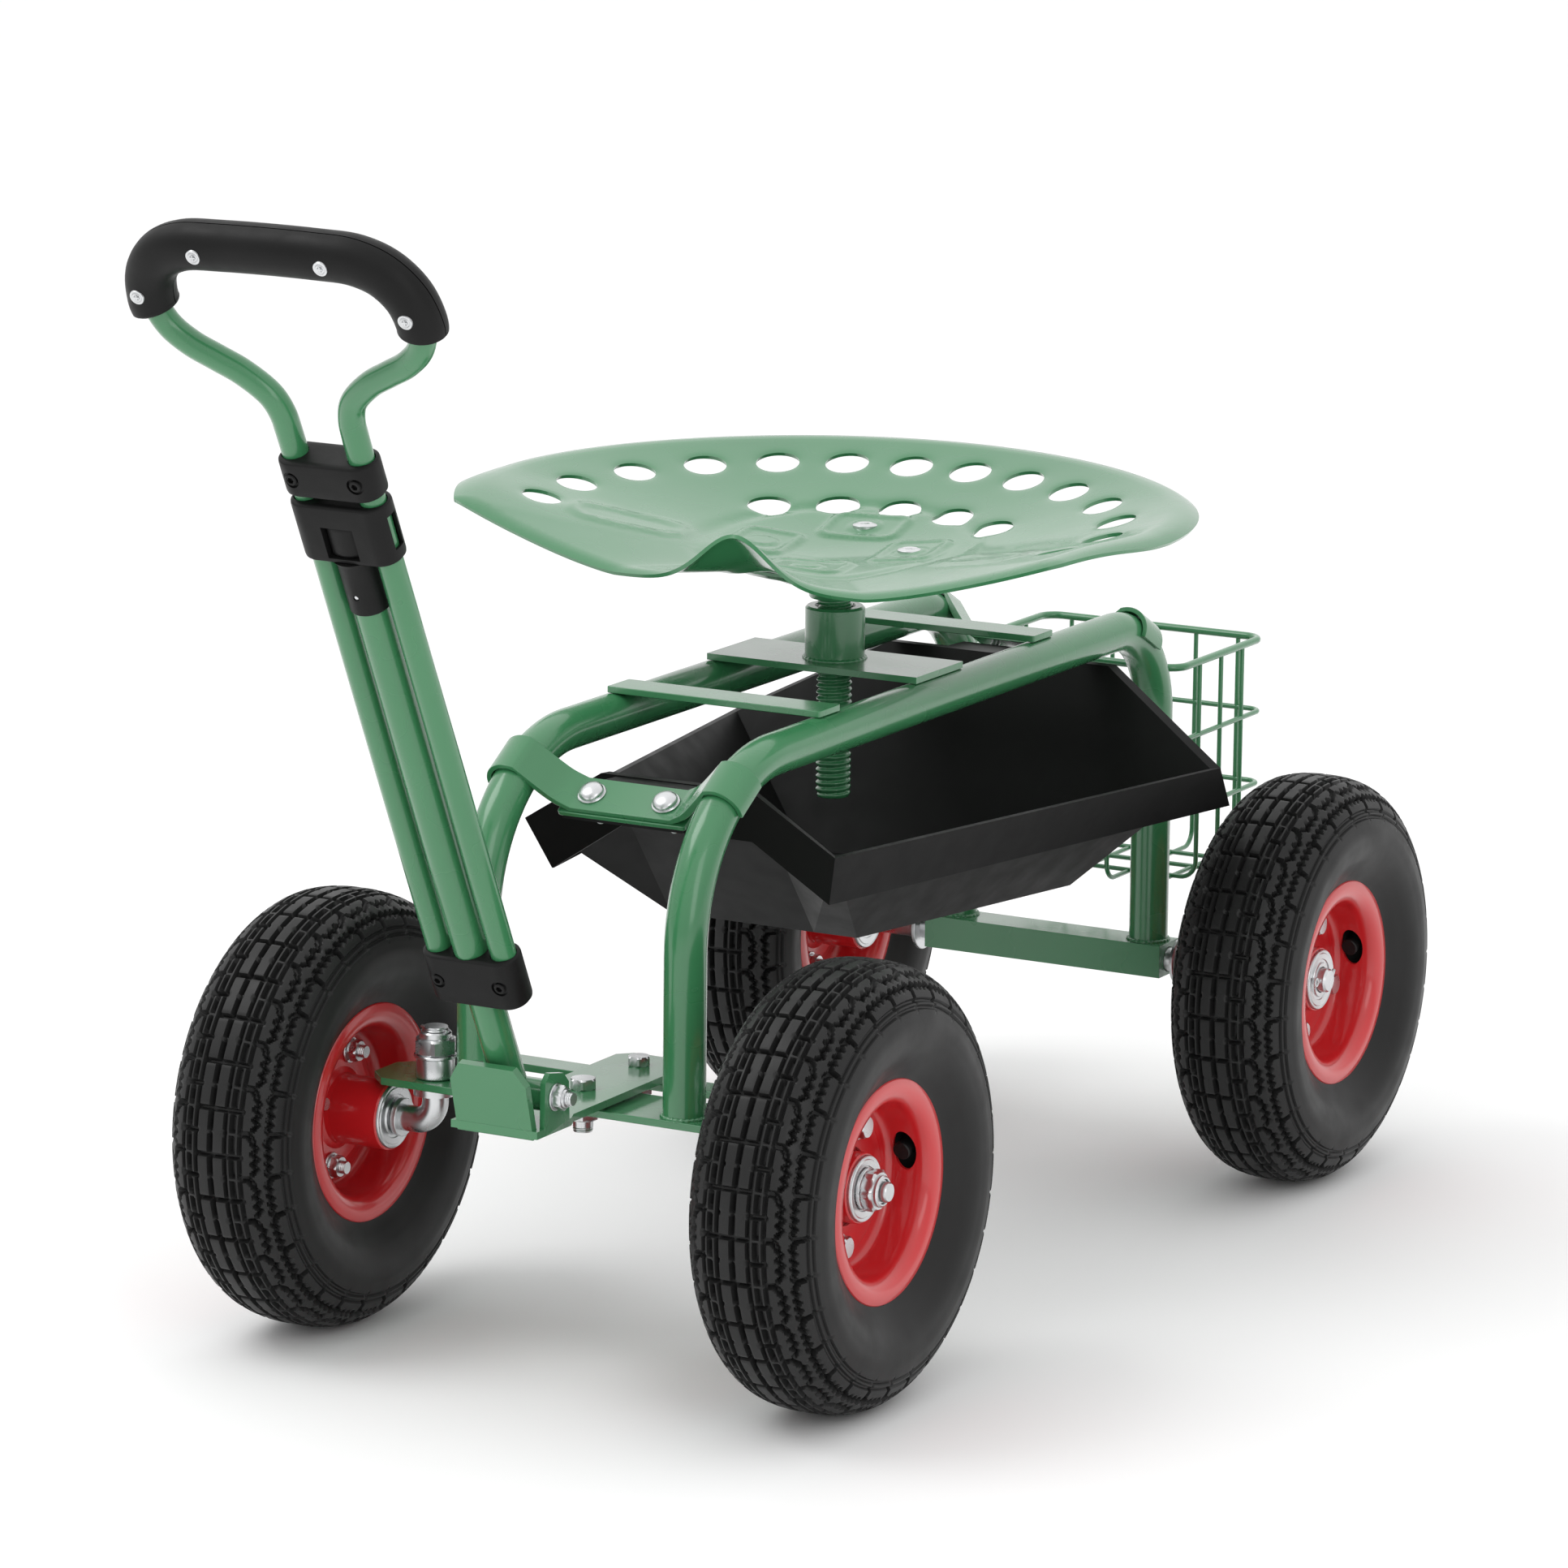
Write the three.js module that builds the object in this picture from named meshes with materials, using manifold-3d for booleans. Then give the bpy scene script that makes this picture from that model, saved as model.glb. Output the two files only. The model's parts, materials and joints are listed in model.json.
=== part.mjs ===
// Garden work cart with a screw-lift tractor seat, a steered front axle with an
// extending handle, a folded tool tray and a rear wire basket.
// Millimetres, +Z up.  +X is the cart's left side, -Y is the front (handle) end.
import * as THREE from "three";
import { mergeVertices } from "three/addons/utils/BufferGeometryUtils.js";
import Module from "manifold-3d";

const wasm = await Module();
wasm.setup();

// ---------------------------------------------------------------- driving dimensions
const GAP = 0.3;                 // clearance between touching pieces
const WHEEL_R = 130;             // outside radius of the 10 inch pneumatic wheels
const AXLE_Z = WHEEL_R;
const HALF_BASE = 297;           // half the wheelbase
const FRONT_TRACK = 172;         // wheel mid-plane to the centre line
const REAR_TRACK = 178.6;
const ROD_R = 7.75;              // axle and kingpin rod

const RAIL_X = 69;               // seat rails, bent round tube
const RAIL_R = 12.5;
const RAIL_WALL = 1.6;
const RAIL_TOP_Z = 351;
const FRONT_LEG_Y = -300;
const REAR_LEG_Y = 299;
const FRONT_BEND_R = 100;
const REAR_BEND_R = 62;

const PLATE_TOP = 157;           // front crossplate
const PLATE_T = 4.5;
const BEAM_TOP = 141;            // rear axle beam
const KINGPIN_X = 100;
const STEER_ARM = 64;            // tongue and spindle arms are equal, so all turn together
const TONGUE_BOTTOM = 159.2;
const TONGUE_T = 4.5;

const HANDLE_PIVOT = [0, -376, 180];
const HANDLE_LEAN = THREE.MathUtils.degToRad(26);
const PIVOT_DROP = 25;           // pivot below the handle frame's own zero
const POST_R = 10;
const SIDE_TUBE_X = 21;
const SIDE_TUBE_R = 7.4;

const SEAT_BAR_Z = 363.8;        // cross bars lie on the rails
const SEAT_BAR_T = 4;
const SCREW_R = 10.8;
const SCREW_BOTTOM = 282;
const SCREW_TOP = 421;
const SEAT_C_Y = -16;            // centre of the seat pan's outline
const SEAT_FLOOR = 431;

const green = { color: 0x6b9776, roughness: 0.32, metalness: 0.25 };
const red = { color: 0xc8282d, roughness: 0.35, metalness: 0.2 };
const zinc = { color: 0xc4c6c6, roughness: 0.3, metalness: 0.9 };
const rubber = { color: 0x2d2d2d, roughness: 0.85, metalness: 0 };
const butyl = { color: 0x1c1c1c, roughness: 0.7, metalness: 0 };
const blackSteel = { color: 0x2a2a2c, roughness: 0.55, metalness: 0.2 };
const blackPlastic = { color: 0x232325, roughness: 0.6, metalness: 0 };

// ---------------------------------------------------------------- geometry helpers
function clean(geometry) {
  const bare = geometry.index ? geometry.toNonIndexed() : geometry.clone();
  bare.deleteAttribute("normal");
  bare.deleteAttribute("uv");
  const merged = mergeVertices(bare, 1e-3);
  const index = merged.index.array;
  const p = merged.attributes.position.array;
  const kept = [];
  let volume = 0;
  for (let i = 0; i < index.length; i += 3) {
    const [a, b, c] = [index[i], index[i + 1], index[i + 2]];
    if (a === b || b === c || c === a) continue;
    kept.push(a, b, c);
    const u = [p[3 * b], p[3 * b + 1], p[3 * b + 2]];
    const v = [p[3 * c], p[3 * c + 1], p[3 * c + 2]];
    volume += p[3 * a] * (u[1] * v[2] - u[2] * v[1]);
    volume += p[3 * a + 1] * (u[2] * v[0] - u[0] * v[2]);
    volume += p[3 * a + 2] * (u[0] * v[1] - u[1] * v[0]);
  }
  if (volume < 0) {
    for (let i = 0; i < kept.length; i += 3) {
      [kept[i], kept[i + 1]] = [kept[i + 1], kept[i]];
    }
  }
  merged.setIndex(kept);
  return merged;
}

function solid(geometry) {
  const g = clean(geometry);
  return new wasm.Manifold(new wasm.Mesh({
    numProp: 3,
    vertProperties: new Float32Array(g.attributes.position.array),
    triVerts: new Uint32Array(g.index.array),
  }));
}

function fromSolid(manifold) {
  const m = manifold.getMesh();
  const g = new THREE.BufferGeometry();
  g.setAttribute("position", new THREE.Float32BufferAttribute(m.vertProperties, 3));
  g.setIndex(Array.from(m.triVerts));
  return g;
}

function shape(add, cut = []) {
  let body = solid(add[0]);
  for (const g of add.slice(1)) body = body.add(solid(g));
  for (const g of cut) body = body.subtract(solid(g));
  return fromSolid(body);
}

function piece(name, geometry, look, position = [0, 0, 0]) {
  const g = clean(geometry);
  g.computeVertexNormals();
  const mesh = new THREE.Mesh(g, new THREE.MeshStandardMaterial({ name, ...look }));
  mesh.name = name;
  mesh.position.set(...position);
  return mesh;
}

// A box given by its two opposite corners.
function box(low, high) {
  const g = new THREE.BoxGeometry(high[0] - low[0], high[1] - low[1], high[2] - low[2]);
  return g.translate((low[0] + high[0]) / 2, (low[1] + high[1]) / 2, (low[2] + high[2]) / 2);
}

// A round bar along x, y or z through `at`, from one end value to the other.
function bar(axis, radius, from, to, at, sides = 16) {
  const g = new THREE.CylinderGeometry(radius, radius, to - from, sides);
  if (axis === "x") g.rotateZ(-Math.PI / 2);
  if (axis === "z") g.rotateX(Math.PI / 2);
  const middle = (from + to) / 2;
  if (axis === "x") return g.translate(middle, at[0], at[1]);
  if (axis === "y") return g.translate(at[0], middle, at[1]);
  return g.translate(at[0], at[1], middle);
}

// A profile of [radius, along] points that closes on itself, turned about an axis.
function turned(profile, axis, sides) {
  const points = profile.map(([r, a]) => new THREE.Vector2(r, a));
  points.push(points[0].clone());
  const g = new THREE.LatheGeometry(points, sides);
  if (axis === "x") g.rotateZ(-Math.PI / 2);
  if (axis === "z") g.rotateX(Math.PI / 2);
  return g;
}

// A flat outline in x and y, made thick along z.
function slab(outline, z, thickness, holes = []) {
  const s = new THREE.Shape(outline.map(([x, y]) => new THREE.Vector2(x, y)));
  for (const [x, y, r] of holes) {
    const hole = new THREE.Path();
    hole.absarc(x, y, r, 0, 2 * Math.PI, true);
    s.holes.push(hole);
  }
  const g = new THREE.ExtrudeGeometry(s, { depth: thickness, bevelEnabled: false, curveSegments: 6 });
  return g.translate(0, 0, z);
}

// A curve through chosen points, one extrusion step per stretch.
class Route extends THREE.Curve {
  constructor(points) {
    super();
    this.points = points.map((p) => new THREE.Vector3(...p));
  }
  getPoint(t, target = new THREE.Vector3()) {
    const scaled = THREE.MathUtils.clamp(t, 0, 1) * (this.points.length - 1);
    const i = Math.min(Math.floor(scaled), this.points.length - 2);
    return target.lerpVectors(this.points[i], this.points[i + 1], scaled - i);
  }
  getPointAt(u, target) {
    return this.getPoint(u, target);
  }
  getTangentAt(u, target) {
    return this.getTangent(u, target);
  }
}

function ringShape(outer, inner, sides) {
  const circle = (r) => Array.from({ length: sides }, (_, i) => {
    const a = (2 * Math.PI * i) / sides;
    return new THREE.Vector2(r * Math.cos(a), r * Math.sin(a));
  });
  const s = new THREE.Shape(circle(outer));
  if (inner > 0) s.holes.push(new THREE.Path(circle(inner).reverse()));
  return s;
}

function sweep(section, points) {
  const extrudePath = new Route(points);
  return new THREE.ExtrudeGeometry(section, {
    steps: points.length - 1, extrudePath, bevelEnabled: false,
  });
}

// Points of an arc in degrees: centre, radius, start, end, count of stretches.
function arc(centre, radius, start, end, count) {
  return Array.from({ length: count + 1 }, (_, i) => {
    const a = THREE.MathUtils.degToRad(start + ((end - start) * i) / count);
    return [centre[0] + radius * Math.cos(a), centre[1] + radius * Math.sin(a)];
  });
}

function hexNut(across, bore, thickness) {
  const corner = across / Math.sqrt(3);
  const s = new THREE.Shape(arc([0, 0], corner, 0, 300, 5).map(([x, y]) => new THREE.Vector2(x, y)));
  if (bore > 0) {
    const hole = new THREE.Path();
    hole.absarc(0, 0, bore, 0, 2 * Math.PI, true);
    s.holes.push(hole);
  }
  return new THREE.ExtrudeGeometry(s, { depth: thickness, bevelEnabled: false, curveSegments: 6 });
}

// ---------------------------------------------------------------- wheels
// A wheel's own frame has its axle along x, with +x outboard.
const HUB_IN = -43;
const HUB_OUT = 12;
const BARREL_R = 51.5;
const WHEEL_SIDES = 18;

function mirrored(half) {
  return [...half, ...half.map(([r, a]) => [r, -a]).reverse()];
}

function tyreGeometry() {
  const bead = BARREL_R + GAP;
  const outside = [[bead, 25.4], [67.5, 27.5], [84, 40], [102, 42], [121, 30.5], [WHEEL_R, 14]];
  const inside = [[bead, 19.5], [80, 31], [103, 35.5], [122.5, 12]];
  const around = [...mirrored(outside), ...mirrored(inside).reverse()];
  return turned(around, "x", WHEEL_SIDES);
}

function rimGeometry(valveHole) {
  const sheet = [
    [23, 0.2], [BARREL_R, 0.2], [BARREL_R, 25.9], [65.5, 27.6],
    [65, 29.8], [BARREL_R - 1.8, 27.7], [BARREL_R - 1.8, 2], [23, 2],
  ];
  const g = turned(sheet, "x", WHEEL_SIDES);
  if (!valveHole) return g;
  return shape([g], [bar("z", 6.2, 40, 60, [12, 0], 10)]);
}

function innerTubeGeometry() {
  const section = (dr, dx) => arc([0, 0], 1, 0, 300, 5).map(([c, s]) => [88 + dr * c, dx * s]);
  const skin = turned(section(30, 30), "x", 12);
  const air = turned(section(27, 27), "x", 12);
  const stem = bar("z", 5.2, 34, 67, [12, 0], 8);
  const bore = bar("z", 1.8, 30, 76, [12, 0], 6);
  return shape([skin, stem], [air, bore]);
}

function hubGeometry() {
  return turned([
    [14.4, HUB_IN], [20.5, HUB_IN], [20.5, -6], [41, -6], [41, -2.3],
    [20.5, -2.3], [20.5, HUB_OUT], [14.4, HUB_OUT],
  ], "x", 14);
}

function bearingGeometry() {
  const bore = ROD_R + 0.6;
  return turned([
    [bore, HUB_IN - 1.5], [14, HUB_IN - 1.5], [14, HUB_OUT + 1.5], [bore, HUB_OUT + 1.5],
  ], "x", 12);
}

function wheel(tag, side) {
  const g = new THREE.Group();
  const mirror = (geometry) => (side > 0 ? geometry : geometry.scale(-1, 1, 1));
  g.add(piece(`tyre_${tag}`, mirror(tyreGeometry()), rubber));
  g.add(piece(`inner_tube_${tag}`, mirror(innerTubeGeometry()), butyl));
  g.add(piece(`rim_outer_${tag}`, mirror(rimGeometry(true)), red));
  g.add(piece(`rim_inner_${tag}`, mirror(rimGeometry(false).scale(-1, 1, 1)), red));
  g.add(piece(`hub_${tag}`, mirror(hubGeometry()), red));
  g.add(piece(`bearings_${tag}`, mirror(bearingGeometry()), zinc));
  return g;
}

// ---------------------------------------------------------------- frame
function railRoute() {
  const front = arc([FRONT_LEG_Y + FRONT_BEND_R, RAIL_TOP_Z - FRONT_BEND_R], FRONT_BEND_R, 180, 90, 5);
  const rear = arc([REAR_LEG_Y - REAR_BEND_R, RAIL_TOP_Z - REAR_BEND_R], REAR_BEND_R, 90, 0, 4);
  const foot = [FRONT_LEG_Y, PLATE_TOP + GAP];
  const heel = [REAR_LEG_Y, BEAM_TOP + GAP];
  return [foot, ...front, ...rear, heel].map(([y, z]) => [0, y, z]);
}

function railGeometry() {
  return sweep(ringShape(RAIL_R, RAIL_R - RAIL_WALL, 10), railRoute());
}

function seatBarGeometry(width, bore) {
  const half = 72;
  const outline = [[-half, -width / 2], [half, -width / 2], [half, width / 2], [-half, width / 2]];
  return slab(outline, 0, SEAT_BAR_T, bore ? [[0, 0, bore]] : []);
}

function crossplateGeometry() {
  const [front, back, end, cut] = [-314, -266, 139, 12];
  const outline = [
    [-end + cut, front], [end - cut, front], [end, front + cut], [end, back - cut],
    [end - cut, back], [-end + cut, back], [-end, back - cut], [-end, front + cut],
  ];
  const pins = [-KINGPIN_X, KINGPIN_X].map((x) => [x, -HALF_BASE, ROD_R + 0.8]);
  return slab(outline, PLATE_TOP - PLATE_T, PLATE_T, [[0, -HALF_BASE, 6.4], ...pins]);
}

function rearBeamGeometry() {
  const half = 85;
  const [wall, deep] = [2.5, 14];
  const outer = box([-half, HALF_BASE - deep, 120], [half, HALF_BASE + deep, BEAM_TOP]);
  const inside = box(
    [-half + 3, HALF_BASE - deep + wall, 119], [half - 3, HALF_BASE + deep - wall, BEAM_TOP - 2.5],
  );
  return shape([outer], [inside, bar("x", ROD_R + 0.5, -half - 1, half + 1, [HALF_BASE, AXLE_Z])]);
}

// A tray strap: over both rails, down to a flat between them.  Its own frame has x across,
// y along the rail and z out from the rail, with zero on the rail's centre line.
const STRAP_W = 26.4;
const STRAP_FLAT = -12.4;
function strapGeometry() {
  const t = 3;
  const inner = RAIL_R + GAP;
  const outer = inner + t;
  const over = (r, a0, a1) => arc([RAIL_X, 0], r, a0, a1, 6);
  const upper = [...over(outer, -10, 128), [34, STRAP_FLAT]];
  const lower = [...over(inner, -10, 132), [35, STRAP_FLAT - t]];
  const half = [...lower.reverse(), ...upper];
  const left = half.map(([x, z]) => [-x, z]).reverse();
  const g = slab([...half, ...left], -STRAP_W / 2, STRAP_W);
  return g.rotateX(Math.PI / 2);
}

function clampPlateGeometry() {
  const z = STRAP_FLAT - 3 - GAP - 3;
  return box([-42.6, -STRAP_W / 2 - 1, z], [42.6, STRAP_W / 2 + 1, z + 3]);
}

// The tray is one folded sheet: floor, four sloping walls, a rim, and a skirt folded down.
const TRAY_T = 1.6;
const TRAY_RIM = [[50.8, -192, 325], [104.8, -189, 291.3], [172.7, 183.4, 285.5], [80, 222, 334.5]];
const TRAY_FLOOR = [[34, -84, 219.7], [63, -84, 219.7], [94, 133, 213], [46, 133, 213]];
const TRAY_SKIRT = [[44, -179, 292], [93.9, -175.6, 259.5], [161.8, 220.8, 253.5], [76, 240, 302]];

function bothSides(corners) {
  return [...corners, ...corners.map(([x, y, z]) => [-x, y, z]).reverse()];
}

function shifted(loop, inward, drop) {
  return loop.map(([x, y, z]) => {
    const length = Math.hypot(x, y);
    return [x - (inward * x) / length, y - (inward * y) / length, z - drop];
  });
}

// A sheet through loops of points, out over its top and back along its underside, whose
// quads are split along the same corners so that the two skins stay parallel.
function loft(loops) {
  const count = loops[0].length;
  const positions = loops.flat(2);
  const index = [];
  for (let row = 0; row < loops.length - 1; row += 1) {
    for (let i = 0; i < count; i += 1) {
      const j = (i + 1) % count;
      const [a, b] = [row * count + i, row * count + j];
      if (row < loops.length / 2) index.push(a, b, b + count, a, b + count, a + count);
      else index.push(a, b, a + count, b, b + count, a + count);
    }
  }
  const last = (loops.length - 1) * count;
  for (let i = 1; i < count - 1; i += 1) {
    index.push(0, i + 1, i);
    index.push(last, last + i, last + i + 1);
  }
  const g = new THREE.BufferGeometry();
  g.setAttribute("position", new THREE.Float32BufferAttribute(positions, 3));
  g.setIndex(index);
  return g;
}

function strapPoint(place, along, out) {
  const [c, s] = [Math.cos(place.turn), Math.sin(place.turn)];
  return [place.y + along * c - out * s, place.z + along * s + out * c];
}

function trayTab(place, rimY, rimZ, side) {
  const out = STRAP_FLAT - 3 - GAP - 3 - GAP;
  const ends = [-1, 1].map((k) => strapPoint(place, (k * STRAP_W) / 2, out));
  const [nearEnd, farEnd] = side < 0 ? [ends[1], ends[0]] : [ends[0], ends[1]];
  const top = [farEnd, nearEnd, [rimY + side * 8, rimZ], [rimY - side * 2, rimZ]];
  const under = top.map(([y, z]) => [y, z - 2]).reverse();
  const g = slab([...top, ...under], -40, 80);
  return g.rotateX(Math.PI / 2).rotateZ(Math.PI / 2);
}

function trayGeometry(frontStrap, rearStrap) {
  const rim = bothSides(TRAY_RIM);
  const floor = bothSides(TRAY_FLOOR);
  const skirt = bothSides(TRAY_SKIRT);
  const sheet = loft([
    floor, shifted(rim, 7, 0), rim, skirt,
    shifted(skirt, TRAY_T, 0), shifted(rim, TRAY_T, TRAY_T),
    shifted(rim, 7 - TRAY_T, TRAY_T * 1.6), shifted(floor, -TRAY_T, TRAY_T),
  ]);
  return shape([sheet, trayTab(frontStrap, -190, 324.5, -1), trayTab(rearStrap, 220, 334, 1)]);
}

// The basket is welded wire: three rings and wires that run down, under and up again.
const BASKET = { x: 79, front: 314.4, back: 440, bottom: 172, top: 316 };
function basketGeometry() {
  const rods = [];
  const rod = (axis, r, from, to, at) => rods.push(bar(axis, r, from, to, at, 4));
  for (const [z, r] of [[BASKET.top, 2.5], [268, 1.6], [220, 1.6]]) {
    for (const x of [-BASKET.x, BASKET.x]) rod("y", r, BASKET.front - r, BASKET.back + r, [x, z]);
    for (const y of [BASKET.front, BASKET.back]) rod("x", r, -BASKET.x - r, BASKET.x + r, [y, z]);
  }
  for (const x of [-61, -30.5, 0, 30.5, 61]) {
    rod("z", 1.5, BASKET.bottom, BASKET.top, [x, BASKET.front]);
    rod("z", 1.5, BASKET.bottom, BASKET.top, [x, BASKET.back]);
    rod("y", 1.5, BASKET.front - 1.5, BASKET.back + 1.5, [x, BASKET.bottom]);
  }
  for (const y of [345.8, 377.2, 408.6]) {
    rod("z", 1.5, BASKET.bottom, BASKET.top, [-BASKET.x, y]);
    rod("z", 1.5, BASKET.bottom, BASKET.top, [BASKET.x, y]);
    rod("x", 1.5, -BASKET.x - 1.5, BASKET.x + 1.5, [y, BASKET.bottom + 0.9]);
  }
  return shape(rods);
}

// ---------------------------------------------------------------- steering
function yokeGeometry() {
  const [z0, z1] = [TONGUE_BOTTOM, TONGUE_BOTTOM + TONGUE_T];
  const rear = -HALF_BASE + 88;
  const outline = [
    [-28.5, -396], [28.5, -396], [28.5, -358], [25, -350], [25, rear - 8], [17, rear],
    [-17, rear], [-25, rear - 8], [-25, -350], [-28.5, -358],
  ];
  const tongue = slab(outline, z0, TONGUE_T, [
    [0, -HALF_BASE, 6.4], [0, -HALF_BASE + STEER_ARM, 5.2],
  ]);
  const ear = () => slab([
    [-388, z0], [-360, z0], [-361, 186], [-367, 192], [-382, 195], [-387, 190],
  ], 25.2, 3.3, [[HANDLE_PIVOT[1], HANDLE_PIVOT[2], 4.6]]);
  const upright = (g) => g.rotateX(Math.PI / 2).rotateZ(Math.PI / 2);
  const leftEar = upright(ear());
  const rightEar = upright(ear().translate(0, 0, -2 * 25.2 - 3.3));
  const face = slab([
    [-25, 0], [25, 0], [25, 33], [18, 43.5], [-18, 43.5], [-25, 33],
  ], 0, 5).rotateX(Math.PI / 2 + THREE.MathUtils.degToRad(15));
  face.translate(0, -389.4, z0);
  return shape([tongue, leftEar, rightEar, face, box([-28.5, -394, z0], [28.5, -385, z1])]);
}

function tonguePivotGeometry() {
  const head = hexNut(19, 0, 7).translate(0, 0, TONGUE_BOTTOM + TONGUE_T + GAP);
  const shank = bar("z", 5.9, 141, TONGUE_BOTTOM + TONGUE_T + 2, [0, 0], 12);
  const nut = hexNut(19, 0, 6.5).translate(0, 0, PLATE_TOP - PLATE_T - GAP - 6.5);
  return shape([head, shank, nut]);
}

const BAR_BOTTOM = 152.3;
const BAR_T = 4.6;
function tieBarGeometry() {
  const half = 9.5;
  const left = arc([KINGPIN_X, 0], half, -90, 90, 6);
  const right = arc([-KINGPIN_X, 0], half, 90, 270, 6);
  const holes = [-KINGPIN_X, 0, KINGPIN_X].map((x) => [x, 0, 5.1]);
  return slab([...left, ...right], BAR_BOTTOM, BAR_T, holes);
}

function tieBarBoltGeometry() {
  const top = TONGUE_BOTTOM + TONGUE_T + GAP;
  const head = hexNut(15, 0, 6).translate(0, 0, top);
  const shank = bar("z", 4.7, 143, top + 1, [0, 0], 10);
  const nut = hexNut(15, 0, 5.5).translate(0, 0, BAR_BOTTOM - GAP - 5.5);
  return shape([head, shank, nut]);
}

// A spindle: one rod bent from kingpin to stub axle, with its steering arm welded on.
// Its own frame stands at the kingpin, at axle height, with the stub along `side`.
function spindleGeometry(side) {
  const bend = arc([side * 12, 12], 12, side > 0 ? 180 : 0, side > 0 ? 270 : -90, 4);
  const route = [[0, 0, 58], ...bend.map(([x, z]) => [x, 0, z]), [side * 96.5, 0, 0]];
  const rod = sweep(ringShape(ROD_R, 0, 12), route);
  const arm = slab([
    ...arc([0, 0], 13, 180, 360, 6), ...arc([0, STEER_ARM], 10, 0, 180, 6),
  ], 147.3 - AXLE_Z, 4.6);
  const pin = bar("z", 4.7, 147.5 - AXLE_Z, BAR_BOTTOM + BAR_T + 2 - AXLE_Z, [0, STEER_ARM], 10);
  return shape([rod, arm, pin]);
}

function kingpinNutGeometry() {
  const bore = ROD_R + 0.6;
  const sleeve = turned([[bore, 0], [11, 0], [11, 12.6], [bore, 12.6]], "z", 12);
  sleeve.translate(0, 0, PLATE_TOP + GAP);
  const nut = hexNut(24, bore, 15.5).translate(0, 0, PLATE_TOP + GAP + 12.5);
  return shape([sleeve, nut], [bar("z", bore, 150, 200, [0, 0], 12)]);
}

function hubNutGeometry() {
  return hexNut(24, ROD_R + 0.6, 8).rotateY(Math.PI / 2);
}

// ---------------------------------------------------------------- handle
// The handle's own frame: x across, y square to the handle, z up along it.
const BLOCK_LOW = [44, 77];
const HOUSING = [347, 386];
const CLAMP = [386.4, 411];
const COLLAR = [313, 347];
const BLOCK = { half: 30.2, depth: 11.7 };

function postGeometry() {
  const post = bar("z", POST_R, -PIVOT_DROP - 9, HOUSING[0] - 3, [0, 0]);
  const knuckle = bar("x", 9, -24.8, 24.8, [0, -PIVOT_DROP]);
  const bore = bar("x", 4.5, -30, 30, [0, -PIVOT_DROP], 12);
  return shape([post, knuckle], [bar("z", POST_R - 1.8, -60, 400, [0, 0]), bore]);
}

function loopRoute() {
  const half = [
    [SIDE_TUBE_X, BLOCK_LOW[0] + 3], [SIDE_TUBE_X, 435], [26, 447], [40, 460],
    [68, 476], [80, 488], [84, 505], [80, 519], [69, 532], [54, 539],
  ];
  const right = half.map(([x, s]) => [-x, 0, s]);
  const left = half.map(([x, s]) => [x, 0, s]).reverse();
  return [...right, ...left];
}

function gripRoute() {
  const half = [[82.8, 500], [84, 505], [80, 519], [69, 532], [54, 539]];
  return [...half.map(([x, s]) => [-x, 0, s]), ...half.map(([x, s]) => [x, 0, s]).reverse()];
}

// One half of the split grip; `face` is -1 for the front half and +1 for the rear half.
function gripGeometry(face) {
  const rounded = (r, lift) => arc([0, 0], r, 0, 180, 6).map(([u, v]) => [v + lift, u]);
  const skin = [...rounded(13.5, GAP / 2), ...rounded(SIDE_TUBE_R + 0.9, GAP / 2).reverse()];
  const section = new THREE.Shape(skin.map(([out, across]) => new THREE.Vector2(-face * out, across)));
  return sweep(section, gripRoute());
}

function sideBores(low, high) {
  return [-SIDE_TUBE_X, SIDE_TUBE_X].map((x) => bar("z", SIDE_TUBE_R + 0.5, low, high, [x, 0], 12));
}

function postBore(low, high) {
  return bar("z", POST_R + 0.5, low, high, [0, 0]);
}

// A moulded block with rounded ends.
function blockBody(low, high) {
  const r = 11;
  const [x, y] = [BLOCK.half - r, BLOCK.depth - r];
  const corner = (cx, cy, from) => arc([cx, cy], r, from, from + 90, 3);
  return slab([
    ...corner(x, -y, -90), ...corner(x, y, 0), ...corner(-x, y, 90), ...corner(-x, -y, 180),
  ], low, high - low);
}

function lowerBlockGeometry() {
  const [low, high] = BLOCK_LOW;
  return shape([blockBody(low, high)], [
    ...sideBores(low - 1, high + 1), postBore(low - 1, high + 1),
  ]);
}

function housingGeometry() {
  const [low, high] = HOUSING;
  const window = box([-10, -25, low + 3.5], [10, 2, low + 23.5]);
  const sleeve = bar("z", 11.8, COLLAR[0], low + 1, [0, 0]);
  return shape([blockBody(low, high), sleeve], [
    ...sideBores(low - 1, high + 1), postBore(COLLAR[0] - 1, low + 0.5), window,
  ]);
}

function clampGeometry() {
  const [low, high] = CLAMP;
  return shape([blockBody(low, high)], sideBores(low - 1, high + 1));
}

// ---------------------------------------------------------------- seat
function seatOutline(angle) {
  const [c, s] = [Math.cos(angle), Math.sin(angle)];
  const oval = 1 / Math.hypot(c / 232, s / 194);
  if (s >= 0) return oval;
  let r = oval;
  for (let i = 0; i < 6; i += 1) {
    const edge = -125 + 21 * Math.min(1, (Math.abs(r * c) / 216) ** 2) - SEAT_C_Y;
    r = Math.min(oval, edge / s);
  }
  return r;
}

function seatHeight(angle, t) {
  const x = Math.abs(seatOutline(angle) * Math.cos(angle));
  const front = THREE.MathUtils.smoothstep(-Math.sin(angle), 0.05, 0.45);
  const thigh = Math.max(0, (x - 84.5) / 131.5) ** 1.3;
  const frontRim = 434 + 34 * thigh;
  const rim = THREE.MathUtils.lerp(472.5 + 8.5 * Math.max(0, Math.sin(angle)), frontRim, front);
  const pommel = Math.sin(angle) < 0 ? 31 * Math.exp(-((x / 32) ** 2)) : 0;
  return SEAT_FLOOR + (rim - SEAT_FLOOR) * t ** 1.6 + pommel * t ** 4;
}

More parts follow.
